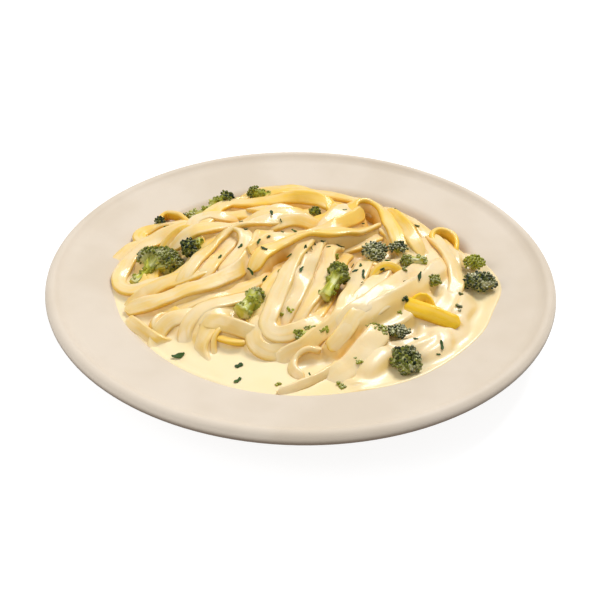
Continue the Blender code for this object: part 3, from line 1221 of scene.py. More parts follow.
    def lay_bed(self, strands: Sequence[Strand]) -> None:
        """Lays the tangled bed: long noodles that run much as those that show over them do.

        Args:
            strands: The noodles that show, which give the flow of the heap.
        """
        random = np.random.default_rng(self.seed)
        long_ones = [strand for strand in strands if len(strand.places) > 3]
        count = 0
        for _ in range(self.bed_layers):
            hidden = self._rim_arcs(random) + [self._understudy(strand, random) for strand in long_ones]
            for index in random.permutation(len(hidden)):
                count += self.lay(hidden[index], True)
        LOG.info("noodles in the bed: %d", count)

    def _understudy(self, strand: Strand, random: np.random.Generator) -> Strand:
        """A hidden noodle that runs beside one that shows: shifted, turned and longer.

        Args:
            strand: The noodle that shows.
            random: The seeded random source.

        Returns:
            The hidden noodle.
        """
        plan = strand.rows()[:, :2]
        middle = plan.mean(axis=0)
        turn = random.normal() * self.stray_turn
        spin = np.array([[math.cos(turn), math.sin(turn)], [-math.sin(turn), math.cos(turn)]])
        shift = random.normal(size=2) * self.stray_shift
        moved = (plan - middle) @ spin * random.uniform(*self.stray_scale) + middle * 0.92 + shift
        places = tuple((float(x), float(y)) for x, y in moved if self.mound.crown(x, y) > 0.1)
        if len(places) < 3:
            places = tuple((float(x), float(y)) for x, y in (plan - middle) * 0.8 + middle * 0.85)
        return Strand(places, random.uniform(0.1, 0.4))

    def _rim_arcs(self, random: np.random.Generator) -> list[Strand]:
        """Noodles that curl round the foot of the heap.

        Args:
            random: The seeded random source.

        Returns:
            The noodles.
        """
        arcs = []
        for start in np.arange(-60.0, 290.0, self.arc_gap):
            turns = np.radians(start + np.linspace(0.0, random.uniform(*self.arc_turn), 7))
            share = random.uniform(*self.arc_reach) + 0.05 * np.sin(np.linspace(0.0, 3.0, 7))
            places = []
            for turn, part in zip(turns, share):
                way = np.array([math.cos(turn), math.sin(turn)])
                reach = self.mound.reach(float(turn)) * part
                x, y = np.array(self.mound.centre) + way * reach
                places.append((float(x), float(y)))
            arcs.append(Strand(tuple(places), random.uniform(0.1, 0.5)))
        return arcs

    def build(self, sauce: HeightMap) -> bpy.types.Object:
        """Copies the blank onto every laid noodle and joins them.

        Args:
            sauce: The sauce's surface, which leaves cream on what is just above it.

        Returns:
            The noodles.
        """
        batch = Batch()
        skyline = self.top.blurred(6).bridged(self.skyline_ball)
        random = np.random.default_rng(self.seed + 1)
        for laid in self.laid:
            length = np.linalg.norm(np.diff(laid.line, axis=0), axis=1).sum()
            rings = max(6, 4 * int(round(length / laid.ring_spacing / 4)))
            blank = Blank.of(rings)
            spot = (blank.points[:, 0] + 0.5) * (len(laid.line) - 1)
            points = self._drawn(laid, blank, spot, random.uniform(0.0, math.tau, 6))
            under = np.clip(-blank.points[:, 2] * 2.0, 0.0, 1.0)
            bareness = np.clip(laid.strand.bareness + 0.2 * under, 0.0, 1.0)
            # How far each point lies under the smoothed skyline of the heap: the depth mark, which paints
            # shade into the gaps.
            buried = skyline.at(points[:, 0], points[:, 1]) - points[:, 2]
            above_cream = points[:, 2] - sauce.at(points[:, 0], points[:, 1])
            creamed = np.clip(1.15 - above_cream / 1.2, 0.0, 1.0) * (1.0 - laid.strand.bareness)
            batch.add(
                points,
                blank.faces,
                bareness=bareness,
                depth=np.clip((buried - self.buried_start) / self.buried_depth, 0.0, 1.0),
                creamed=np.maximum(creamed, laid.strand.coated),
                run=spot * self.spacing,
                side=blank.points[:, 1] * 2.0,
                lot=random.uniform(0.0, 90.0),
            )
        item = batch.build("fettuccine", self.finish.material(), 50.0)
        edit(item, Pick.VERTEX)
        close_outward()
        return item

    def _drawn(self, laid: Laid, blank: Shape, spot: np.ndarray, phases: np.ndarray) -> np.ndarray:
        """Draws a copy of the blank along a laid noodle, a little uneven in width and curl.

        Args:
            laid: The noodle.
            blank: The blank.
            spot: Where along the noodle each of the blank's points goes, by row number.
            phases: Random phases of its unevenness.

        Returns:
            The copy's points.
        """
        line, across, above = (spread_along(spot, part) for part in (laid.line, laid.across, laid.above))
        _, wide, tall = blank.points.T
        width = laid.strand.width * (1.0 + 0.035 * np.sin(spot * 0.21 + phases[0]))
        nearest = np.minimum(spot, len(laid.line) - 1 - spot) * self.spacing
        blunt = laid.strand.blunt or (self.sunk_end if laid.strand.tuck > 2.0 else self.cut_end)
        share = np.clip(nearest / blunt, 0.0, 1.0)
        side = wide * (width * (0.3 + 0.7 * np.sqrt(share * (2 - share))))
        lift = tall * Blank.thickness * (1.0 + 0.1 * np.sin(spot * 0.33 + phases[1]))
        curl = laid.strand.cup * (4.0 * wide**2 - 0.4)
        curl = curl + 0.16 * np.sin(spot * 0.33 + 3.0 * wide + phases[2])
        curl = curl + 0.08 * np.sin(spot * 0.62 - 4.0 * wide + phases[3])
        side = side + 0.3 * np.sin(spot * 0.3 + phases[4])
        return line + across * side[:, None] + above * (lift + curl)[:, None]


# Noodles that show, from the lowest to the highest, as (x, y, rise, lean).
LOWER_LEFT = (
    Strand(((-99, 8), (-97, 14), (-92, 21), (-84, 27), (-74, 33), (-60, 38)), 0.15, width=7.0),
    Strand(((-52, 34), (-66, 38), (-79, 41), (-86, 38), (-87, 31), (-80, 24)), 0.3, width=7.6),
    Strand(((-60, 42, 0, 50), (-68, 51, 0, 75), (-75, 57, 0, 80), (-79, 53, 0, 80), (-74, 46, 0, 70)),
           0.4, width=5.8),
    Strand(((-87, -33, -1, 20), (-82, -43, -1.2, 40), (-74, -51, -1.6, 52), (-66, -56, -2, 56),
            (-60, -55, -2, 40)), 0.1, width=7.2),
    Strand(((-63, -39, 0, 30), (-69, -43, 0, 50), (-71, -50, -1, 50), (-66, -56, -2, 40)), 0.1,
           width=5.0),
    Strand(((-44, -40), (-55, -43), (-64, -47), (-69, -55), (-67, -62)), 0.1, tuck=8.0, tuck_run=24),
    Strand(((-12, -24), (-25, -32), (-38, -38), (-49, -44), (-55, -52), (-53, -61)), 0.05, tuck=8.0,
           tuck_run=24),
    Strand(((-30, -40), (-37, -45, 0, 5), (-42, -51, 0, 12), (-45.5, -58, 0, 26), (-46.5, -65, 0, 44),
            (-43, -73, 0, 60)), 0.1, width=9.0, tuck=6.5, tuck_run=26),
    Strand(((-32, -49, -1, 20), (-38, -54, -1, 50), (-41, -61, -1, 68), (-40, -69, -1.5, 75)), 0.3,
           width=4.6, tuck=5.0, tuck_run=20),
    Strand(((-44, -52, -2.4), (-38, -57, -2.2, -10), (-31, -59.5, -2.0, -15), (-25, -58.5, -2.0, -15),
            (-18, -54, -2.4)), 0.7, width=8.0, proud=True),
    Strand(((-50, -44, -1, 5), (-44, -50, -0.6, 25), (-38, -53, -0.4, 42), (-32, -55.5, -0.2, 50),
            (-26, -57, -0.4, 50), (-20, -58, -1, 40), (-13, -58, -2, 20)), 0.1, width=8.6, coated=0.3),
    Strand(((-12, -44, -1), (-18, -51, -1, 5), (-22, -59, -1, 14), (-20, -65, -1, 26),
            (-13, -67.5, -1, 30), (-5, -65.5, -1, 26), (2, -60, -1, 10)), 0.15, width=9.0, coated=0.3),
)
LEFT = (
    Strand(((-50, 36), (-60, 32), (-70, 28), (-80, 22), (-88, 13), (-92, 4), (-93, -7), (-90, -16),
            (-82, -20), (-73, -18), (-64, -13), (-54, -6), (-46, 2)), 0.15),
    Strand(((-88, -30), (-79, -27), (-71, -23), (-62, -20), (-50, -16), (-38, -8)), 0.3),
    Strand(((-74, 15, -1, 30), (-70, 22, 0, 38), (-63, 26, 0.5, 38), (-56, 22, 0, 35),
            (-51, 12, -1, 25)), 0.6, width=5.8),
    Strand(((-50, -22), (-44, -9), (-40, 3), (-35, 13), (-27, 22)), 0.1),
    Strand(((-60, -26), (-55, -12), (-49, 2), (-43, 12), (-36, 19, 1.5), (-30, 15, 2), (-29, 4, 1),
            (-34, -8), (-40, -18)), 0.1),
    Strand(((-86, -33.5), (-76, -34), (-63, -31), (-51, -28), (-40, -23), (-31, -14), (-25, -3),
            (-22, 9), (-18, 22), (-12, 30)), 0.15, width=9.0, tuck=1.0),
)
BACK = (
    Strand(((-36, 84), (-22, 85), (-10, 81), (0, 82), (10, 84)), 0.15, width=7.6, lean=12),
    Strand(((-26, 70), (-12, 74), (0, 74, 0.6), (12, 72, 0.6), (24, 67), (36, 60), (46, 50)), 0.2,
           lean=-10),
    Strand(((38, 62), (49, 54), (58, 45), (65, 35), (68, 24)), 0.2),
    Strand(((-14, 62), (-3, 66), (7, 64), (14, 57), (18, 46)), 0.6, lean=-20),
    Strand(((-52, 26), (-52, 40), (-48, 54), (-40, 62), (-30, 61), (-20, 59), (-8, 60), (6, 58),
            (18, 50)), 0.4),
    Strand(((-58, 24), (-50, 36), (-42, 43), (-33, 44), (-25, 40), (-16, 36), (-6, 36)), 0.3),
    Strand(((22, 58), (20, 47), (15, 38), (7, 34), (-3, 34)), 0.5),
    Strand(((-30, 50), (-24, 42), (-17, 40), (-11, 42), (-3, 46), (5, 47)), 0.35, width=6.4),
    Strand(((-23, 26), (-18, 34), (-9, 38), (0, 35), (9, 28)), 0.05, coated=0.4),
    Strand(((-68, 16), (-58, 21), (-48, 25), (-38, 28), (-28, 30), (-17, 32), (-6, 34), (6, 36)), 0.1),
    Strand(((-44, 18), (-32, 21), (-20, 24), (-10, 28), (-2, 31)), 0.1),
    Strand(((-18, 22), (-8, 26), (2, 29), (12, 29)), 0.1),
    Strand(((7, 19), (14, 28), (20, 38), (26, 45), (33, 50)), 0.0, width=9.0, coated=0.6),
    Strand(((50, 48), (54, 36), (58, 24), (63, 12)), 0.5, width=7.0),
    Strand(((-60, 22), (-57, 33), (-50, 38), (-43, 37), (-35, 40)), 0.1, width=7.0, coated=0.3),
    Strand(((25, 38), (27, 47, 0.5, -24), (32, 53, 1.5, -38), (39, 53, 1.5, -40), (44, 45, 1, -30),
            (47, 34, 0, -12), (50, 20), (54, 6)), 0.5),
    Strand(((44, 52, 0, 30), (50, 41, 0, 40), (54, 30, 0, 40), (58, 20, 0, 20), (62, 9)), 0.6),
)
CENTRE = (
    Strand(((-4, -6), (-10, -16), (-15, -28), (-19, -40), (-23, -52)), 0.35),
    Strand(((21, 14), (17, 9), (14, 1), (13, -10), (11, -21), (8, -30), (5, -38), (1, -45), (-4, -53)),
           0.1, width=8.8, coated=0.3),
    Strand(((16, 18), (11, 13), (6, 0), (4.5, -10), (2, -21), (0, -30), (-3, -38), (-6, -46),
            (-9, -54)), 0.05, width=8.8, coated=0.4),
    Strand(((10, 18), (5, 14), (1, 0), (-3, -10), (-6, -20), (-9, -31), (-12, -42), (-14.5, -49),
            (-15.5, -55, 0, 8), (-12, -60, 0, 22), (-5, -60.5, 0, 28), (2, -57, 0, 24), (9, -52, 0, 15),
            (15, -46)), 0.15, width=9.0, tuck=8.0, tuck_run=18, coated=0.2),
    Strand(((35, 1), (32, -7, 0.4), (29, -18, 0.9, -6), (26, -30, 1, -8), (23, -40, 1, -8),
            (20, -49, 0.8, -6), (14, -57), (7, -62), (1, -67), (-8, -70, -1), (-16, -71, -2)), 0.1,
           width=9.0, proud=True, coated=0.35),
    Strand(((-26, -6), (-21, 3), (-14, 11), (-5, 16), (5, 19), (15, 23), (24, 31), (33, 43)), 0.05,
           tuck=1.0),
    Strand(((-25, -15), (-21, -8), (-15, -1), (-8, 5), (1, 10), (10, 13), (20, 17), (31, 24), (42, 35)),
           0.35, lean=-15),
)
RIGHT = (
    Strand(((88, -16), (84, -24), (79, -34), (72, -44)), 0.0),
    Strand(((84, -36), (74, -50), (61, -61), (46, -70)), 0.0),
    Strand(((60, -47), (68, -52), (69, -59), (62, -67), (52, -73)), 0.0, width=6.0),
    Strand(((49, 6, -1), (44, -8, -1), (38, -22, -1.2), (31, -34, -1.6), (24, -46, -2), (16, -56, -2)),
           0.0),
    Strand(((66, 9), (60, -5, 0.5), (54, -15, 1), (47, -25, 1.4, 6), (40, -34, 1.4, 8),
            (34, -41, 1.2, 8), (26, -49, 0.8), (18, -56), (9, -62)), 0.0, width=9.0, tuck=7.0,
           tuck_run=24.0, proud=True, coated=0.6),
    Strand(((76, 8), (69, -5), (61, -17), (53, -28), (44, -38), (34, -47), (25, -54)), 0.05),
    Strand(((35, -20, -0.5), (38, -15, 0, 30), (43, -12.5, 0, 45), (48, -13.5, 0, 40),
            (51, -18, -0.5, 20)), 0.7, width=5.0, proud=True),
    Strand(((34, -38), (29, -47), (24, -55), (19, -62), (14, -68)), 0.35, tuck=2.0),
    Strand(((38, -53, -0.3, -5), (36, -60, 0.9, -12), (30, -69, 1.3, -18), (22, -78, 0.8, -20),
            (13, -86, -0.5, -12)), 0.05, width=11.5, tuck=3.0, tuck_run=12, proud=True, coated=0.7),
    Strand(((14, -84, -1), (26, -87, -1), (40, -82, -1), (52, -75, -1)), 0.0, width=5.0),
    Strand(((-10, -94, -0.5, 40), (-2, -91, -0.5, 50), (6, -86, -0.5, 55), (13, -80, -0.5, 55),
            (19, -74, -1, 50)), 0.05, width=4.8, tuck=1.0, proud=True, coated=0.6),
    Strand(((10, -68, -1, 30), (4, -68, -0.5, 45), (-2, -72, -0.5, 50), (-3, -79, -0.5, 50),
            (2, -84, -1, 40)), 0.05, width=5.4, tuck=1.0, proud=True, coated=0.5),
    Strand(((72, 20, -1.5, 60), (70, 29, -1.5, 75), (74, 36, -1, 80), (80, 36, -1, 80),
            (83, 30, -1.5, 80), (81, 20, -2.5, 60)), 0.7, width=6.8, proud=True),
    Strand(((60, 40), (67, 33), (73, 22), (77, 9), (79, -5), (77, -19), (71, -31)), 0.15, tuck=7.0,
           tuck_run=34, proud=True, coated=0.35),
    Strand(((53, -39, 0, 20), (57, -34, 0.4, 50), (61, -32.5, 0.4, 60), (64, -35, 0.2, 50),
            (65, -39, -0.5, 20)), 0.9, width=5.4, proud=True),
    Strand(((48.5, -34, -4.6, 10), (57.5, -40, -1.0, 26), (67, -44, 0.6, 36), (77, -46, 1.4, 40)), 1.0,
           width=8.8, tuck=0.3, proud=True, blunt=2.6, cup=-0.7),
)


# --- Sauce ---


@dataclass
class SauceCoat:
    """The cream: a pool in the well that climbs between the noodles and films over them.

    Lumps are sunk in the cream, as (one end, other end, girth). Creamy are the places that
    it covers thickly, as (x, y, width, depth, share), and so it does beyond creamy_start,
    measured along creamy_way. A ball is the radius of the ball that fills gaps as it rolls.
    Edge is its edge on the plate, as (turn in degrees, distance from the plate's axis).
    """

    heap: NoodleHeap
    lumps: tuple[tuple[tuple[float, ...], tuple[float, ...], float], ...] = (
        ((26, -85, 18.0), (43, -62, 22.0), 7.0),
        ((-14, -74, 20.6), (-9, -74, 20.5), 2.4),
    )
    creamy: tuple[tuple[float, float, float, float, float], ...] = (
        (-56, -62, 18, 10, 0.6), (-44, -44, 17, 9, 0.7), (-2, -34, 14, 20, 0.5), (-14, -58, 10, 9, 0.6),
    )
    creamy_way: tuple[float, float] = (0.9, -0.6)
    creamy_start: float = 46.0
    creamy_fade: float = 8.0
    edge: tuple[tuple[float, float], ...] = (
        (-163, 98.5), (-143, 92.5), (-125, 94.0), (-102, 96.7), (-77, 95.5), (-60, 98.6),
        (-37, 98.9), (-25, 100.6), (-17, 99.5), (-5, 103.8), (5, 100.2), (14, 95.2),
        (26, 88.5), (38, 86.5), (55, 87.5), (80, 86.0), (110, 86.0), (140, 91.0), (165, 97.0),
    )
    thin_sink: float = 2.2
    thin_ball: float = 2.0
    thick_lift: float = 0.3
    thick_ball: float = 2.4
    film_fade: float = 1.5
    edge_height: float = 1.5
    edge_round: float = 1.3
    overhang: float = 1.5
    skirt: float = 1.2
    base_share: float = 0.78
    base_height: float = 9.5
    finish: CreamFinish = CreamFinish()

    def __post_init__(self) -> None:
        """Sinks the lumps, and works out the sauce's surface and where it is only a film."""
        for start, end, girth in self.lumps:
            self._sink(np.array(start, float), np.array(end, float), girth)
        x, y = HeightMap.grid()
        radius = np.hypot(x, y)
        self.inside = self.reach(x, y) - radius
        over, level = self._over(x, y), self._level(x, y)
        self.film = np.clip((over - level) / self.film_fade, 0, 1)
        z = HeightMap(np.maximum(over, level)).blurred(1).z
        z = np.minimum(z, self.heap.plate.height(radius) + self._brim())
        calm = np.clip((self.inside - 1.5) / 2.0, 0.0, 1.0)
        calm = calm * np.clip(1.0 - (over - level) / self.film_fade, 0.0, 1.0)
        self.surface = HeightMap(z * (1 - calm) + HeightMap(z).blurred(8).z * calm)

    def reach(self, x: np.ndarray, y: np.ndarray) -> np.ndarray:
        """Distance from the plate's axis to the sauce's edge, in the direction of each place.

        Args:
            x: The places' x.
            y: The places' y.

        Returns:
            The distances.
        """
        turns = np.array([turn for turn, _ in self.edge], float)
        reaches = np.array([reach for _, reach in self.edge])
        turns = np.concatenate([turns - 360, turns, turns + 360])
        fine = np.arange(-540, 541, 3.0)
        line = np.interp(fine, turns, np.tile(reaches, 3))
        line = np.convolve(np.pad(line, 2, mode="edge"), np.array([1, 4, 6, 4, 1]) / 16, mode="valid")
        return np.interp(np.degrees(np.arctan2(y, x)), fine, line)

    def _over(self, x: np.ndarray, y: np.ndarray) -> np.ndarray:
        """Height of the cream on the noodles: a thin layer, or a thick one where it is creamy.

        Args:
            x: The places' x.
            y: The places' y.

        Returns:
            The heights.
        """
        east, north = self.creamy_way
        saucy = 1.0 / (1.0 + np.exp(-(x * east + y * north - self.creamy_start) / self.creamy_fade))
        for cx, cy, wide, deep, most in self.creamy:
            saucy = np.maximum(saucy, most * np.exp(-(((x - cx) / wide) ** 2) - ((y - cy) / deep) ** 2))
        thin = self.heap.bed.bridged(self.thin_ball).blurred(1).z - self.thin_sink
        thick = self.heap.coated.bridged(self.thick_ball).blurred(2).z + self.thick_lift
        return thin * (1 - saucy) + np.maximum(thick, thin - 0.4) * saucy

    def _level(self, x: np.ndarray, y: np.ndarray) -> np.ndarray:
        """Level of the pool, which meets the plate towards the sauce's edge.

        Args:
            x: The places' x.
            y: The places' y.

        Returns:
            The heights.
        """
        level, reach = self.heap.mound.level(y), self.reach(x, y)
        shore = self.heap.plate.height(reach) + 0.3
        share = np.clip((np.hypot(x, y) / reach - 0.7) / 0.3, 0.0, 1.0)
        return level + np.minimum(shore - level, 0.0) * share**2 * (3 - 2 * share)

    def _brim(self) -> np.ndarray:
        """The most that the sauce stands above the plate, which rounds its edge.

        Returns:
            The heights above the plate.
        """
        inward = np.clip(self.inside, 0, 50)
        rounded = self.edge_height * (1 - np.exp(-inward / self.edge_round))
        brim = np.where(self.inside > 0, rounded, self.inside * 1.2)
        brim += inward * 0.5 + np.clip(self.inside - 4.0, 0, 50) * 1.5
        return np.clip(brim, -1.4, 60)

    def _sink(self, start: np.ndarray, end: np.ndarray, girth: float) -> None:
        """Puts a long lump under the cream, from one point to another.

        Args:
            start: One end.
            end: The other end.
            girth: Its radius.
        """
        way = end - start
        side = np.array([-way[1], way[0], 0.0]) / np.linalg.norm(way[:2])
        for share in np.linspace(0.0, 1.0, 60):
            for off in np.linspace(-1.0, 1.0, 40):
                rise = girth * math.sqrt(max(0.0, 1.0 - off**2)) * (1.0 - 0.8 * abs(2 * share - 1) ** 3)
                spot = start + way * share + side * off * girth
                for layer in (self.heap.coated, self.heap.bed):
                    layer.heap(spot[0], spot[1], spot[2] + rise - 0.4)

    def _depth(self) -> np.ndarray:
        """How deep the sauce lies in the gaps of the heap, from 0 to 1, which paints shade into its colour
        there.
        """
        skyline = self.heap.top.blurred(4).bridged(self.heap.skyline_ball).z
        return np.clip((skyline - self.surface.z - 1.4) / 3.5, 0.0, 1.0)

    def build(self) -> bpy.types.Object:
        """Lifts a fine grid to the surface, trims it round and closes it underneath.

        Returns:
            The sauce.
        """
        cells = len(self.surface.z) - 1
        size = 2 * HeightMap.reach * MM
        deselect()
        bpy.ops.mesh.primitive_grid_add(x_subdivisions=cells, y_subdivisions=cells, size=size)
        item = bpy.context.object
        item.name = "alfredo_sauce"
        settle(item)
        points = mesh_points(item)
        column = np.rint((points[:, 0] / MM + HeightMap.reach) / HeightMap.cell).astype(int)
        row = np.rint((points[:, 1] / MM + HeightMap.reach) / HeightMap.cell).astype(int)
        points[:, 2] = self.surface.z[row, column] * MM
        item.data.vertices.foreach_set("co", points.ravel())
        for name, mark in (("film", self.film), ("depth", self._depth())):
            layer = item.data.attributes.new(name, "FLOAT", "POINT")
            layer.data.foreach_set("value", mark[row, column].astype(np.float32))
        edit(item, Pick.VERTEX)
        bpy.ops.object.mode_set(mode="OBJECT")
        item.data.vertices.foreach_set("select", self.inside[row, column] < -self.overhang)
        bpy.ops.object.mode_set(mode="EDIT")
        bpy.ops.mesh.delete(type="VERT")
        bpy.ops.mesh.select_all(action="SELECT")
        bpy.ops.mesh.region_to_loop()
        for drop in (self.skirt, 0.0):
            move = {"value": (0.0, 0.0, -drop * MM)}
            bpy.ops.mesh.extrude_region_move(TRANSFORM_OT_translate=move)
        inward = (self.base_share, self.base_share, 0.0)
        bpy.ops.transform.resize(value=inward, center_override=(0.0, 0.0, self.base_height * MM))
        bpy.ops.mesh.edge_face_add()
        close_outward()
        item.data.materials.append(self.finish.material())
        smooth(item, 60.0)
        return item


# --- Broccoli ---


@dataclass(frozen=True)
class Floret:
    """One floret: its head, how many bud clusters it has, and where its stem points.

    The stem's heading and dip below the level are in degrees; shift and stretch move and
    draw out the head along x, y and z.
    """

    node: str
    radius: float
    clusters: int
    heading: float = 0.0
    dip: float = 0.0
    stem: float = 0.0
    stem_radius: float = 0.0
    creaminess: float = 0.4
    limeness: float = 0.0
    shift: tuple[float, float, float] = (0.0, 0.0, 0.0)
    stretch: tuple[float, float, float] = (1.0, 1.0, 1.0)


FLORETS = (
    Floret("broccoli_01", 10.8, 7, 232, 12, 17, 2.6, 0.2, 0.3, (2.0, -2.5, -2.2), (1.5, 0.9, 0.66)),
    Floret("broccoli_02", 5.4, 3, 60, 10, 8, 2.4, 0.1),
    Floret("broccoli_03", 3.3, 2, creaminess=0.1, shift=(0.0, 0.0, -1.2)),
    Floret("broccoli_04", 4.0, 2, 40, 0, 15, 3.2, 0.3, 0.4, (0.0, 0.0, -1.6)),
    Floret("broccoli_05", 5.8, 3, 200, 6, 8, 2.6, 0.05, 0.1, (0.0, -1.0, -2.2), (1.15, 1.0, 0.9)),
    Floret("broccoli_06", 4.4, 3, -20, 2, 11, 2.4, 0.1, 0.3, (-1.5, -1.0, -1.2)),
    Floret("broccoli_07", 3.4, 2, creaminess=0.1, limeness=0.3, shift=(0.0, -1.0, -1.5)),
    Floret("broccoli_08", 6.6, 5, 246, 8, 17, 3.0, 0.08, 0.35, (0.0, 0.0, -0.3), (0.9, 1.7, 0.75)),
    Floret("broccoli_09", 5.0, 3, 235, 10, 12, 4.2, 0.3, 0.5),
    Floret("broccoli_10", 7.2, 4, creaminess=0.32, shift=(0.0, 0.0, -1.0), stretch=(1.0, 1.2, 0.7)),
    Floret("broccoli_11", 4.6, 2, creaminess=0.34, stretch=(1.3, 0.8, 0.6)),
    Floret("broccoli_12", 4.0, 2, 15, 6, 9, 2.6, 0.3, 0.5),
    Floret("broccoli_13", 4.0, 2, creaminess=0.15, limeness=0.5, stretch=(0.8, 1.0, 1.1)),
    Floret("broccoli_14", 5.4, 3, creaminess=0.12, limeness=0.9, shift=(0.5, -2.0, -1.2),
           stretch=(1.15, 0.95, 0.7)),
    Floret("broccoli_15", 7.8, 4, creaminess=0.32, shift=(0.5, -3.0, -1.6), stretch=(1.25, 0.85, 0.55)),
    Floret("broccoli_16", 7.4, 4, creaminess=0.3, limeness=0.15, shift=(-1.0, -1.5, -2.4),
           stretch=(1.2, 1.45, 0.65)),
    Floret("broccoli_17", 4.6, 3, creaminess=0.32, shift=(-1.0, -1.0, -1.2), stretch=(1.5, 1.0, 0.6)),
    Floret("broccoli_18", 5.4, 4, 243, 12, 22, 2.4, 0.3, 0.55, (1.0, 3.0, 1.2), (1.5, 1.0, 0.6)),
    Floret("broccoli_19", 4.4, 2, 18, -4, 13, 3.0, 0.2, 0.6, (2.5, -4.0, 0.0)),
)


@dataclass
class Broccoli:
    """The florets, each an umbrella of small bud clusters on a branching stem."""

    bud_radius: float = 0.825
    bud_density: float = 10.0
    knob_density: float = 1.5
    knob_buds: int = 4
    ribs: float = 5.0
    stalk_worn: float = 0.16
    sprigs: int = 4
    spread: float = 1.35
    flatness: float = 0.82
    golden_angle: float = math.pi * (3.0 - math.sqrt(5.0))
    seed: int = 5
    finish: BroccoliFinish = BroccoliFinish()

    def __post_init__(self) -> None:
        """Models the shapes that the florets are put together from."""
        self.bud = self._model_bud()
        self.curd = self._model_curd()
        self.stalk = self._model_stalk()

    def _model_bud(self) -> Shape:
        """One closed bud, a little longer than wide, 1 in radius.

        Returns:
            The shape.
        """
        deselect()
        bpy.ops.mesh.primitive_ico_sphere_add(subdivisions=1, radius=1.0)
        item = bpy.context.object
        edit(item, Pick.VERTEX)
        bpy.ops.mesh.select_all(action="SELECT")
        bpy.ops.transform.resize(value=(1.0, 0.92, 1.12))
        deselect()
        return Shape.taken(item)

    def _model_curd(self) -> Shape:
        """The lumpy flesh under a cluster of buds, 1 in radius.

        Returns:
            The shape.
        """
        deselect()
        bpy.ops.mesh.primitive_ico_sphere_add(subdivisions=2, radius=1.0)
        shape = Shape.taken(bpy.context.object)
        p = shape.points
        lumps = np.sin(p[:, 0] * 5.1 + 1.0) * np.sin(p[:, 1] * 4.7 + 2.0) * np.sin(p[:, 2] * 4.9)
        return Shape(p * (1.0 + 0.12 * lumps)[:, None], shape.faces)

    def _model_stalk(self) -> Shape:
        """A stalk along z from 0 to 1, 1 in radius, waisted, ridged and with a worn cut end.

        Returns:
            The shape.
        """
        deselect()
        bpy.ops.mesh.primitive_cylinder_add(vertices=20, radius=1.0, depth=1.0, location=(0, 0, 0.5))
        item = bpy.context.object
        settle(item)
        edit_edges(item, lambda a, b: abs(a.z - b.z) > 0.5)
        bpy.ops.mesh.subdivide(number_cuts=6)
        edit_edges(item, lambda a, b: a.z > 0.99 and b.z > 0.99)
        bpy.ops.mesh.bevel(offset=self.stalk_worn, segments=3, affect="EDGES")
        deselect()
        shape = Shape.taken(item)
        p = shape.points.copy()
        swell = 1.2 - 0.4 * np.sin(np.clip(p[:, 2], 0, 1) * math.pi) ** 0.8
        p[:, :2] *= (swell * (1.0 + 0.13 * self._ridges(p)))[:, None]
        return Shape(p, shape.faces)

    def _ridges(self, points: np.ndarray) -> np.ndarray:
        """The ribs round a stalk, from -1 to 1."""
        return np.sin(np.arctan2(points[:, 1], points[:, 0]) * self.ribs + points[:, 2] * 1.5)

    def build(self, floret: Floret) -> bpy.types.Object:
        """Builds one floret where its CAD node is.

        Args:
            floret: The floret.

        Returns:
            The piece.
        """
        random = np.random.default_rng(self.seed + int(floret.node[-2:]))
        batch = Batch()
        foot = self._foot(floret)
        if floret.stem:
            self._add_stalk(batch, foot * 0.3, self._along(floret), floret.stem, floret.stem_radius)
            self._add_knobs(batch, floret, random)
        sprigs = self._sprigs(floret, random)
        for centre, size in sprigs:
            reach = centre - foot
            length = float(np.linalg.norm(reach))
            self._add_stalk(batch, centre, -reach / length, length, size * 0.5)
            flesh = self.curd.points @ random_turn(random) * (size - self.bud_radius * 0.6)
            batch.add(centre + flesh, self.curd.faces, kind=0.3, tone=0.4, inner=1.0)
            self._add_buds(batch, floret, centre, size, sprigs, random)
        points = np.concatenate(batch.points)
        low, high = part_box(floret.node)
        middle = (np.array(low) + np.array(high)) / 2 / MM
        shift = middle + np.array(floret.shift) - (points.min(0) + points.max(0)) / 2
        batch.points = [part + shift for part in batch.points]
        material = self.finish.material(f"{floret.node}_flesh", floret.creaminess)
        return batch.build(f"{floret.node}_floret", material, 45.0)

    def _along(self, floret: Floret) -> np.ndarray:
        """The direction that a floret's stem points in: down where none shows.

        Args:
            floret: The floret.

        Returns:
            The direction.
        """
        if not floret.stem:
            return np.array([0.0, 0.0, -1.0])
        turn, dip = math.radians(floret.heading), math.radians(floret.dip)
        return np.array([math.cos(turn) * math.cos(dip), math.sin(turn) * math.cos(dip), -math.sin(dip)])

    def _foot(self, floret: Floret) -> np.ndarray:
        """The point that a floret's branches spring from."""
        return self._along(floret) * floret.radius * 0.7

    def _sprigs(self, floret: Floret, random: np.random.Generator) -> list[tuple[np.ndarray, float]]:
        """Spreads a floret's bud clusters over an umbrella round its stem's end.

        Args:
            floret: The floret.
            random: The seeded random source.

        Returns:
            Each cluster's centre and radius.
        """
        crown = -self._along(floret)
        side = np.cross(crown, [0.31, 0.2, 0.93])
        side /= np.linalg.norm(side)
        front = np.cross(crown, side)
        count = floret.clusters * self.sprigs
        found = []
        for index in range(count):
            tilt = math.acos(1.0 - (index + 0.5) / count * self.spread)
            turn = index * self.golden_angle + random.uniform(-0.3, 0.3)
            size = floret.radius * random.uniform(0.25, 0.4)
            out = crown * math.cos(tilt) * self.flatness
            out = out + (side * math.cos(turn) + front * math.sin(turn)) * math.sin(tilt)
            spot = out * (floret.radius - size) * random.uniform(0.78, 1.0)
            found.append((spot * np.array(floret.stretch), size))
        return found

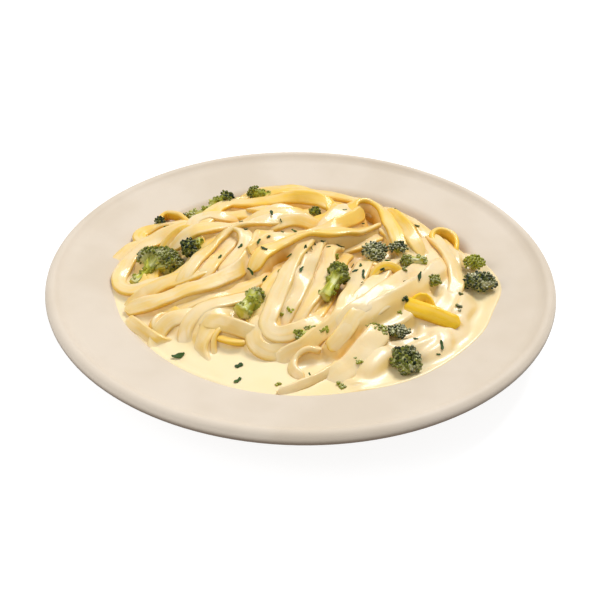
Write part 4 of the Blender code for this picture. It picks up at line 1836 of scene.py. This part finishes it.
    def _add_knobs(self, batch: Batch, floret: Floret, random: np.random.Generator) -> None:
        """Sets small lime side shoots along a stalk.

        Args:
            batch: The floret's shapes so far.
            floret: The floret.
            random: The seeded random source.
        """
        along, foot = self._along(floret), self._foot(floret)
        side = np.cross(along, [0.0, 0.0, 1.0])
        side /= np.linalg.norm(side)
        front = np.cross(side, along)
        for _ in range(int(floret.stem * self.knob_density)):
            turn = random.uniform(0.0, math.tau)
            out = side * math.cos(turn) + front * math.sin(turn)
            share = random.uniform(0.0, 0.95)
            size = floret.stem_radius * random.uniform(0.28, 0.5) * (1.1 - 0.4 * share)
            centre = foot * 0.3 + along * floret.stem * share + out * floret.stem_radius * 0.9
            lump = self.curd.points @ random_turn(random) * size
            batch.add(centre + lump, self.curd.faces, kind=0.2, tone=random.uniform(0.1, 0.9), inner=0.1)
            for _ in range(self.knob_buds):
                way = out + random.normal(size=3) * 0.6
                spot = centre + way / np.linalg.norm(way) * size
                bud = spot + self.bud.points @ random_turn(random) * self.bud_radius * 0.75
                batch.add(bud, self.bud.faces, kind=1.0, tone=random.uniform(0.5, 1.0), inner=0.1)

    def _add_stalk(
        self, batch: Batch, start: np.ndarray, along: np.ndarray, length: float, radius: float
    ) -> None:
        """Adds a stalk or a branch.

        Args:
            batch: The floret's shapes so far.
            start: Where it starts.
            along: Its direction.
            length: Its length.
            radius: Its radius.
        """
        spin = np.array(Vector((0, 0, 1)).rotation_difference(Vector(along)).to_matrix())
        points = self.stalk.points * np.array([radius, radius, length])
        tone = np.clip(self._ridges(self.stalk.points) * 0.6 + 0.2, 0.0, 1.0)
        batch.add(start + points @ spin.T, self.stalk.faces, kind=0.0, tone=tone, inner=0.15)

    def _add_buds(
        self,
        batch: Batch,
        floret: Floret,
        centre: np.ndarray,
        size: float,
        sprigs: list[tuple[np.ndarray, float]],
        random: np.random.Generator,
    ) -> None:
        """Sets one cluster with buds, leaving out those inside its neighbours or round its branch.

        Args:
            batch: The floret's shapes so far.
            floret: The floret.
            centre: The cluster's centre.
            size: The cluster's radius.
            sprigs: Every cluster's centre and radius.
            random: The seeded random source.
        """
        count = int(self.bud_density * (size / (2 * self.bud_radius)) ** 2) + 4
        foot = self._foot(floret)
        inward = (foot - centre) / np.linalg.norm(foot - centre)
        lateness = 0.5 + 0.5 * float(inward @ -self._along(floret))
        for index in range(count):
            lift = 1 - 2 * (index + 0.5) / count
            turn = index * self.golden_angle
            flat = math.sqrt(1 - lift * lift)
            out = np.array([flat * math.cos(turn), flat * math.sin(turn), lift])
            out += random.normal(size=3) * 0.08
            out /= np.linalg.norm(out)
            spot = centre + out * size * (1 + random.normal() * 0.05)
            if out @ inward > 0.35:
                continue
            if any(np.linalg.norm(spot - c) < s * 0.9 for c, s in sprigs if c is not centre):
                continue
            scale = self.bud_radius * random.uniform(0.7, 1.2)
            tone = random.normal() * 0.2 + 0.1 + floret.limeness + 0.75 * lateness**2
            points = spot + self.bud.points @ random_turn(random) * scale
            away = np.linalg.norm(points - centre, axis=1) - size
            inner = np.clip(0.35 - away / scale * 0.7, 0.0, 1.0)
            batch.add(points, self.bud.faces, kind=1.0, tone=float(np.clip(tone, 0, 1)), inner=inner)


# --- Parsley and crumbs ---


# Flakes of parsley where they fell, as (x, y, length, turn in degrees), with the breadth
# after it where a flake is a whole leaf.
FLAKES = (
    (-73, 36, 3, 0), (-32, 24, 2, 0), (-29, 16, 2, 33), (-31, 2, 3, 57), (-41, -6, 3, 72),
    (-25, -16, 4, 87), (-22, 2, 3.6, 79), (-19, -4, 3.3, -26), (-18, -20, 3.4, 52),
    (-16, 28, 3.6, -79), (-11, 24, 2, -72), (-4, 20, 3.2, -46), (-17, 9, 2.6, 46),
    (-10, 17, 1.6, 0), (11, 19, 3.2, -18), (2, -6, 4, -52), (0, -21, 3.8, 72), (-6, -7, 2.8, 26),
    (5, -1, 3, -61), (7, 5, 2.4, -18), (11, 7, 2.4, -33), (14, 5, 2, 18), (20, 9, 6, -61),
    (26, -11, 2.6, 33), (27, -16, 3, 33), (24, -13, 2, 46), (30, -11, 2.8, 84), (31, -18, 5, 84),
    (31, -22, 2.5, -72), (30, -29, 2.4, -65), (44, -4, 2.6, 0), (23, 39, 2.2, 26), (33, 36, 1.6, 0),
    (51, 45, 1.6, 0), (-1, -53, 2.4, -46), (53, -22, 5, 57), (59, -18, 6, 84), (53, -11, 2.2, 0),
    (60, -28, 2.2, -26), (86, 14, 2, 0), (62, 35, 2.6, 0), (83, -13, 2.5, 72), (55, -57, 2.2, 0),
    (46, -67, 2.4, 33), (67, -62, 4.5, -79), (65, -67, 1.8, 0), (5, -84, 2.8, -52),
    (-57, -67, 5.4, 18, 4.6), (-28, -75, 3.6, 40, 3.6), (-28, -86, 3.8, 50, 2.2), (36, 8, 4, 20),
    (34, 12, 5, -25), (39, 11, 4, 50),
)
# Crumbs of broccoli in the cream, as (x, y, size, tone from dark to lime).
CRUMBS = (
    (-5, -47, 1.9, 1.0), (-9, -49, 1.6, 0.8), (-10, -88, 1.5, 0.9), (28, -76, 1.6, 0.9),
    (19, -88, 2.3, 0.6), (51, -36, 1.9, 0.1), (48, -42, 1.4, 0.7), (78, -33, 2.0, 0.1),
    (18, -2, 2.0, 0.8), (-11, -17, 1.6, 0.6), (41, -16, 1.2, 0.1), (52, -15, 1.4, 0.5),
    (-20, -33, 1.7, 0.9), (80, -20, 1.5, 0.3),
)


@dataclass
class Garnish:
    """Chopped parsley on top, and crumbs of broccoli half sunk in the cream."""

    surface: HeightMap
    broccoli: Broccoli
    lift: float = 0.12
    flake_scale: float = 1.15
    flake_breadth: float = 2.0
    flake_thickness: float = 0.35
    crumb_buds: int = 7
    seed: int = 3

    def flakes(self) -> bpy.types.Object:
        """Lays every flake of parsley on what is under it.

        Returns:
            The parsley.
        """
        random = np.random.default_rng(self.seed)
        blank = self._model_flake()
        batch = Batch()
        for x, y, length, turn, *leaf in FLAKES:
            run, wide, tall = blank.points.T
            length = self.flake_scale * length
            breadth = leaf[0] if leaf else min(0.45 * length, self.flake_breadth)
            breadth = breadth * random.uniform(0.8, 1.25)
            lobes = 0.62 + 0.2 * np.sin(run * random.uniform(7.0, 11.0) + random.uniform(0, 6))
            bend, curl = random.uniform(-0.5, 0.5), random.uniform(0.0, 0.35)
            across = wide * breadth * lobes * (1.1 - (2 * run) ** 2 * 0.6) + bend * length * run**2
            upward = tall * self.flake_thickness + curl * length * run**2 + 0.3 * breadth * wide**2
            flake = self._on_surface(x, y, turn, np.stack([run * length, across, upward], 1))
            batch.add(flake, blank.faces, tone=random.uniform(0.0, 1.0))
        return batch.build("parsley_flakes", HerbFinish().material(), 50.0)

    def crumbs(self) -> bpy.types.Object:
        """Sinks the crumbs of broccoli halfway.

        Returns:
            The crumbs.
        """
        random = np.random.default_rng(self.seed + 1)
        batch = Batch()
        for x, y, size, tone in CRUMBS:
            for _ in range(self.crumb_buds):
                off = random.normal(size=3) * size * 0.36 * np.array([1.0, 1.0, 0.4])
                bud = self.broccoli.bud.points @ random_turn(random)
                bud = bud * size * random.uniform(0.35, 0.55) + off
                shade = float(np.clip(tone + random.normal() * 0.15, 0, 1))
                inner = np.clip(0.3 - bud[:, 2] / size, 0.0, 1.0)
                bud = self._on_surface(x, y, 0.0, bud)
                batch.add(bud, self.broccoli.bud.faces, kind=1.0, tone=shade, inner=inner)
        return batch.build("broccoli_crumbs", BroccoliFinish().material("crumb_flesh", 0.2), 50.0)

    def _on_surface(self, x: float, y: float, turn: float, points: np.ndarray) -> np.ndarray:
        """Puts a small thing down, leaning as the surface under it does.

        Args:
            x: Where it lies.
            y: Where it lies.
            turn: Its turn in degrees.
            points: Its points about its own middle.

        Returns:
            Its points on the surface.
        """
        step = 0.9
        east = self.surface.at(x + step, y) - self.surface.at(x - step, y)
        north = self.surface.at(x, y + step) - self.surface.at(x, y - step)
        normal = np.array([-float(east), -float(north), 2 * step])
        normal /= np.linalg.norm(normal)
        way = np.array([math.cos(math.radians(turn)), math.sin(math.radians(turn)), 0.0])
        way -= normal * (way @ normal)
        way /= np.linalg.norm(way)
        place = np.array([x, y, float(self.surface.at(x, y)) + self.lift])
        return place + points @ np.stack([way, np.cross(normal, way), normal])

    def _model_flake(self) -> Shape:
        """A thin sheet from -0.5 to 0.5, thick enough to close, for a flake.

        Returns:
            The shape.
        """
        deselect()
        bpy.ops.mesh.primitive_grid_add(x_subdivisions=7, y_subdivisions=2, size=1.0)
        item = bpy.context.object
        modifier = item.modifiers.new("thickness", "SOLIDIFY")
        modifier.thickness = 1.0
        modifier.offset = 0.0
        focus(item)
        bpy.ops.object.modifier_apply(modifier=modifier.name)
        return Shape.taken(item)


# --- Studio ---


@dataclass
class Studio:
    """The pale table, the soft lights and the camera, in metres.

    A lamp is (place, size, power): the key hangs behind the dish, the fill in front.
    """

    target: tuple[float, float, float] = (0.0, 0.0, 0.0235)
    distance: float = 0.6
    elevation: float = 33.6
    roll: float = 0.9
    lens: float = 69.66
    shift: tuple[float, float] = (-0.00167, -0.045)
    table_size: float = 8.0
    key: tuple[tuple[float, float, float], float, float] = ((0.95, 1.55, 2.5), 1.12, 70.0)
    fill: tuple[tuple[float, float, float], float, float] = ((-0.8, -0.4, 0.8), 0.6, 3.4)
    room_light: float = 0.415

    def build(self) -> None:
        """Sets the table, the lights, the white room and the camera."""
        self._table()
        self._lamp("key_light", *self.key)
        self._lamp("fill_light", *self.fill)
        self._room()
        self._camera()
        bpy.context.scene.view_settings.view_transform = "Standard"

    def _table(self) -> None:
        """Lays the table under the plate's foot."""
        deselect()
        bpy.ops.mesh.primitive_plane_add(size=self.table_size)
        table = bpy.context.object
        table.name = "table"
        table.data.materials.append(TableFinish().material())

    def _room(self) -> None:
        """Lights the dish evenly from all round."""
        world = bpy.data.worlds.new("white_room")
        world.use_nodes = True
        background = world.node_tree.nodes["Background"]
        background.inputs["Color"].default_value = (1.0, 1.0, 1.0, 1.0)
        background.inputs["Strength"].default_value = self.room_light
        bpy.context.scene.world = world

    def _lamp(self, name: str, place: tuple[float, float, float], size: float, power: float) -> None:
        """Hangs one square area light that faces the dish.

        Args:
            name: Its name.
            place: Where it hangs.
            size: Its side.
            power: Its power in watts.
        """
        data = bpy.data.lights.new(name, "AREA")
        data.energy = power
        data.size = size
        lamp = bpy.data.objects.new(name, data)
        bpy.context.scene.collection.objects.link(lamp)
        lamp.location = place
        aim = Vector(self.target) - Vector(place)
        lamp.rotation_euler = aim.to_track_quat("-Z", "Y").to_euler()

    def _camera(self) -> None:
        """Stands the camera in front of the dish, looking down on it."""
        data = bpy.data.cameras.new("camera")
        data.lens = self.lens
        data.shift_x, data.shift_y = self.shift
        camera = bpy.data.objects.new("camera", data)
        bpy.context.scene.collection.objects.link(camera)
        turn = math.radians(self.elevation)
        back = Vector((0.0, -math.cos(turn), math.sin(turn)))
        camera.location = Vector(self.target) + back * self.distance
        aim = (-back).to_track_quat("-Z", "Y")
        aim = aim @ Quaternion((0.0, 0.0, 1.0), math.radians(self.roll))
        camera.rotation_euler = aim.to_euler()
        bpy.context.scene.camera = camera


def main() -> None:
    """Builds the dish from the plate up, then the studio."""
    logging.basicConfig(level=logging.INFO, format="%(message)s")
    plate = Plate()
    hand_over(plate.build(), Slot.PLATE, "plate")
    heap = NoodleHeap(Mound(), plate)
    strands = LOWER_LEFT + LEFT + BACK + CENTRE + RIGHT
    heap.lay_bed(strands)
    for strand in strands:
        heap.lay(strand)
    coat = SauceCoat(heap)
    hand_over(heap.build(coat.surface), Slot.NOODLES, "noodles")
    hand_over(coat.build(), Slot.SAUCE, "sauce")
    broccoli = Broccoli()
    for floret in FLORETS:
        hand_over(broccoli.build(floret), Slot.BROCCOLI, floret.node)
    garnish = Garnish(HeightMap(np.maximum(heap.top.z, coat.surface.z)), broccoli)
    hand_over(garnish.flakes(), Slot.BROCCOLI)
    hand_over(garnish.crumbs(), Slot.BROCCOLI)
    Studio().build()


if __name__ == "__main__":
    main()
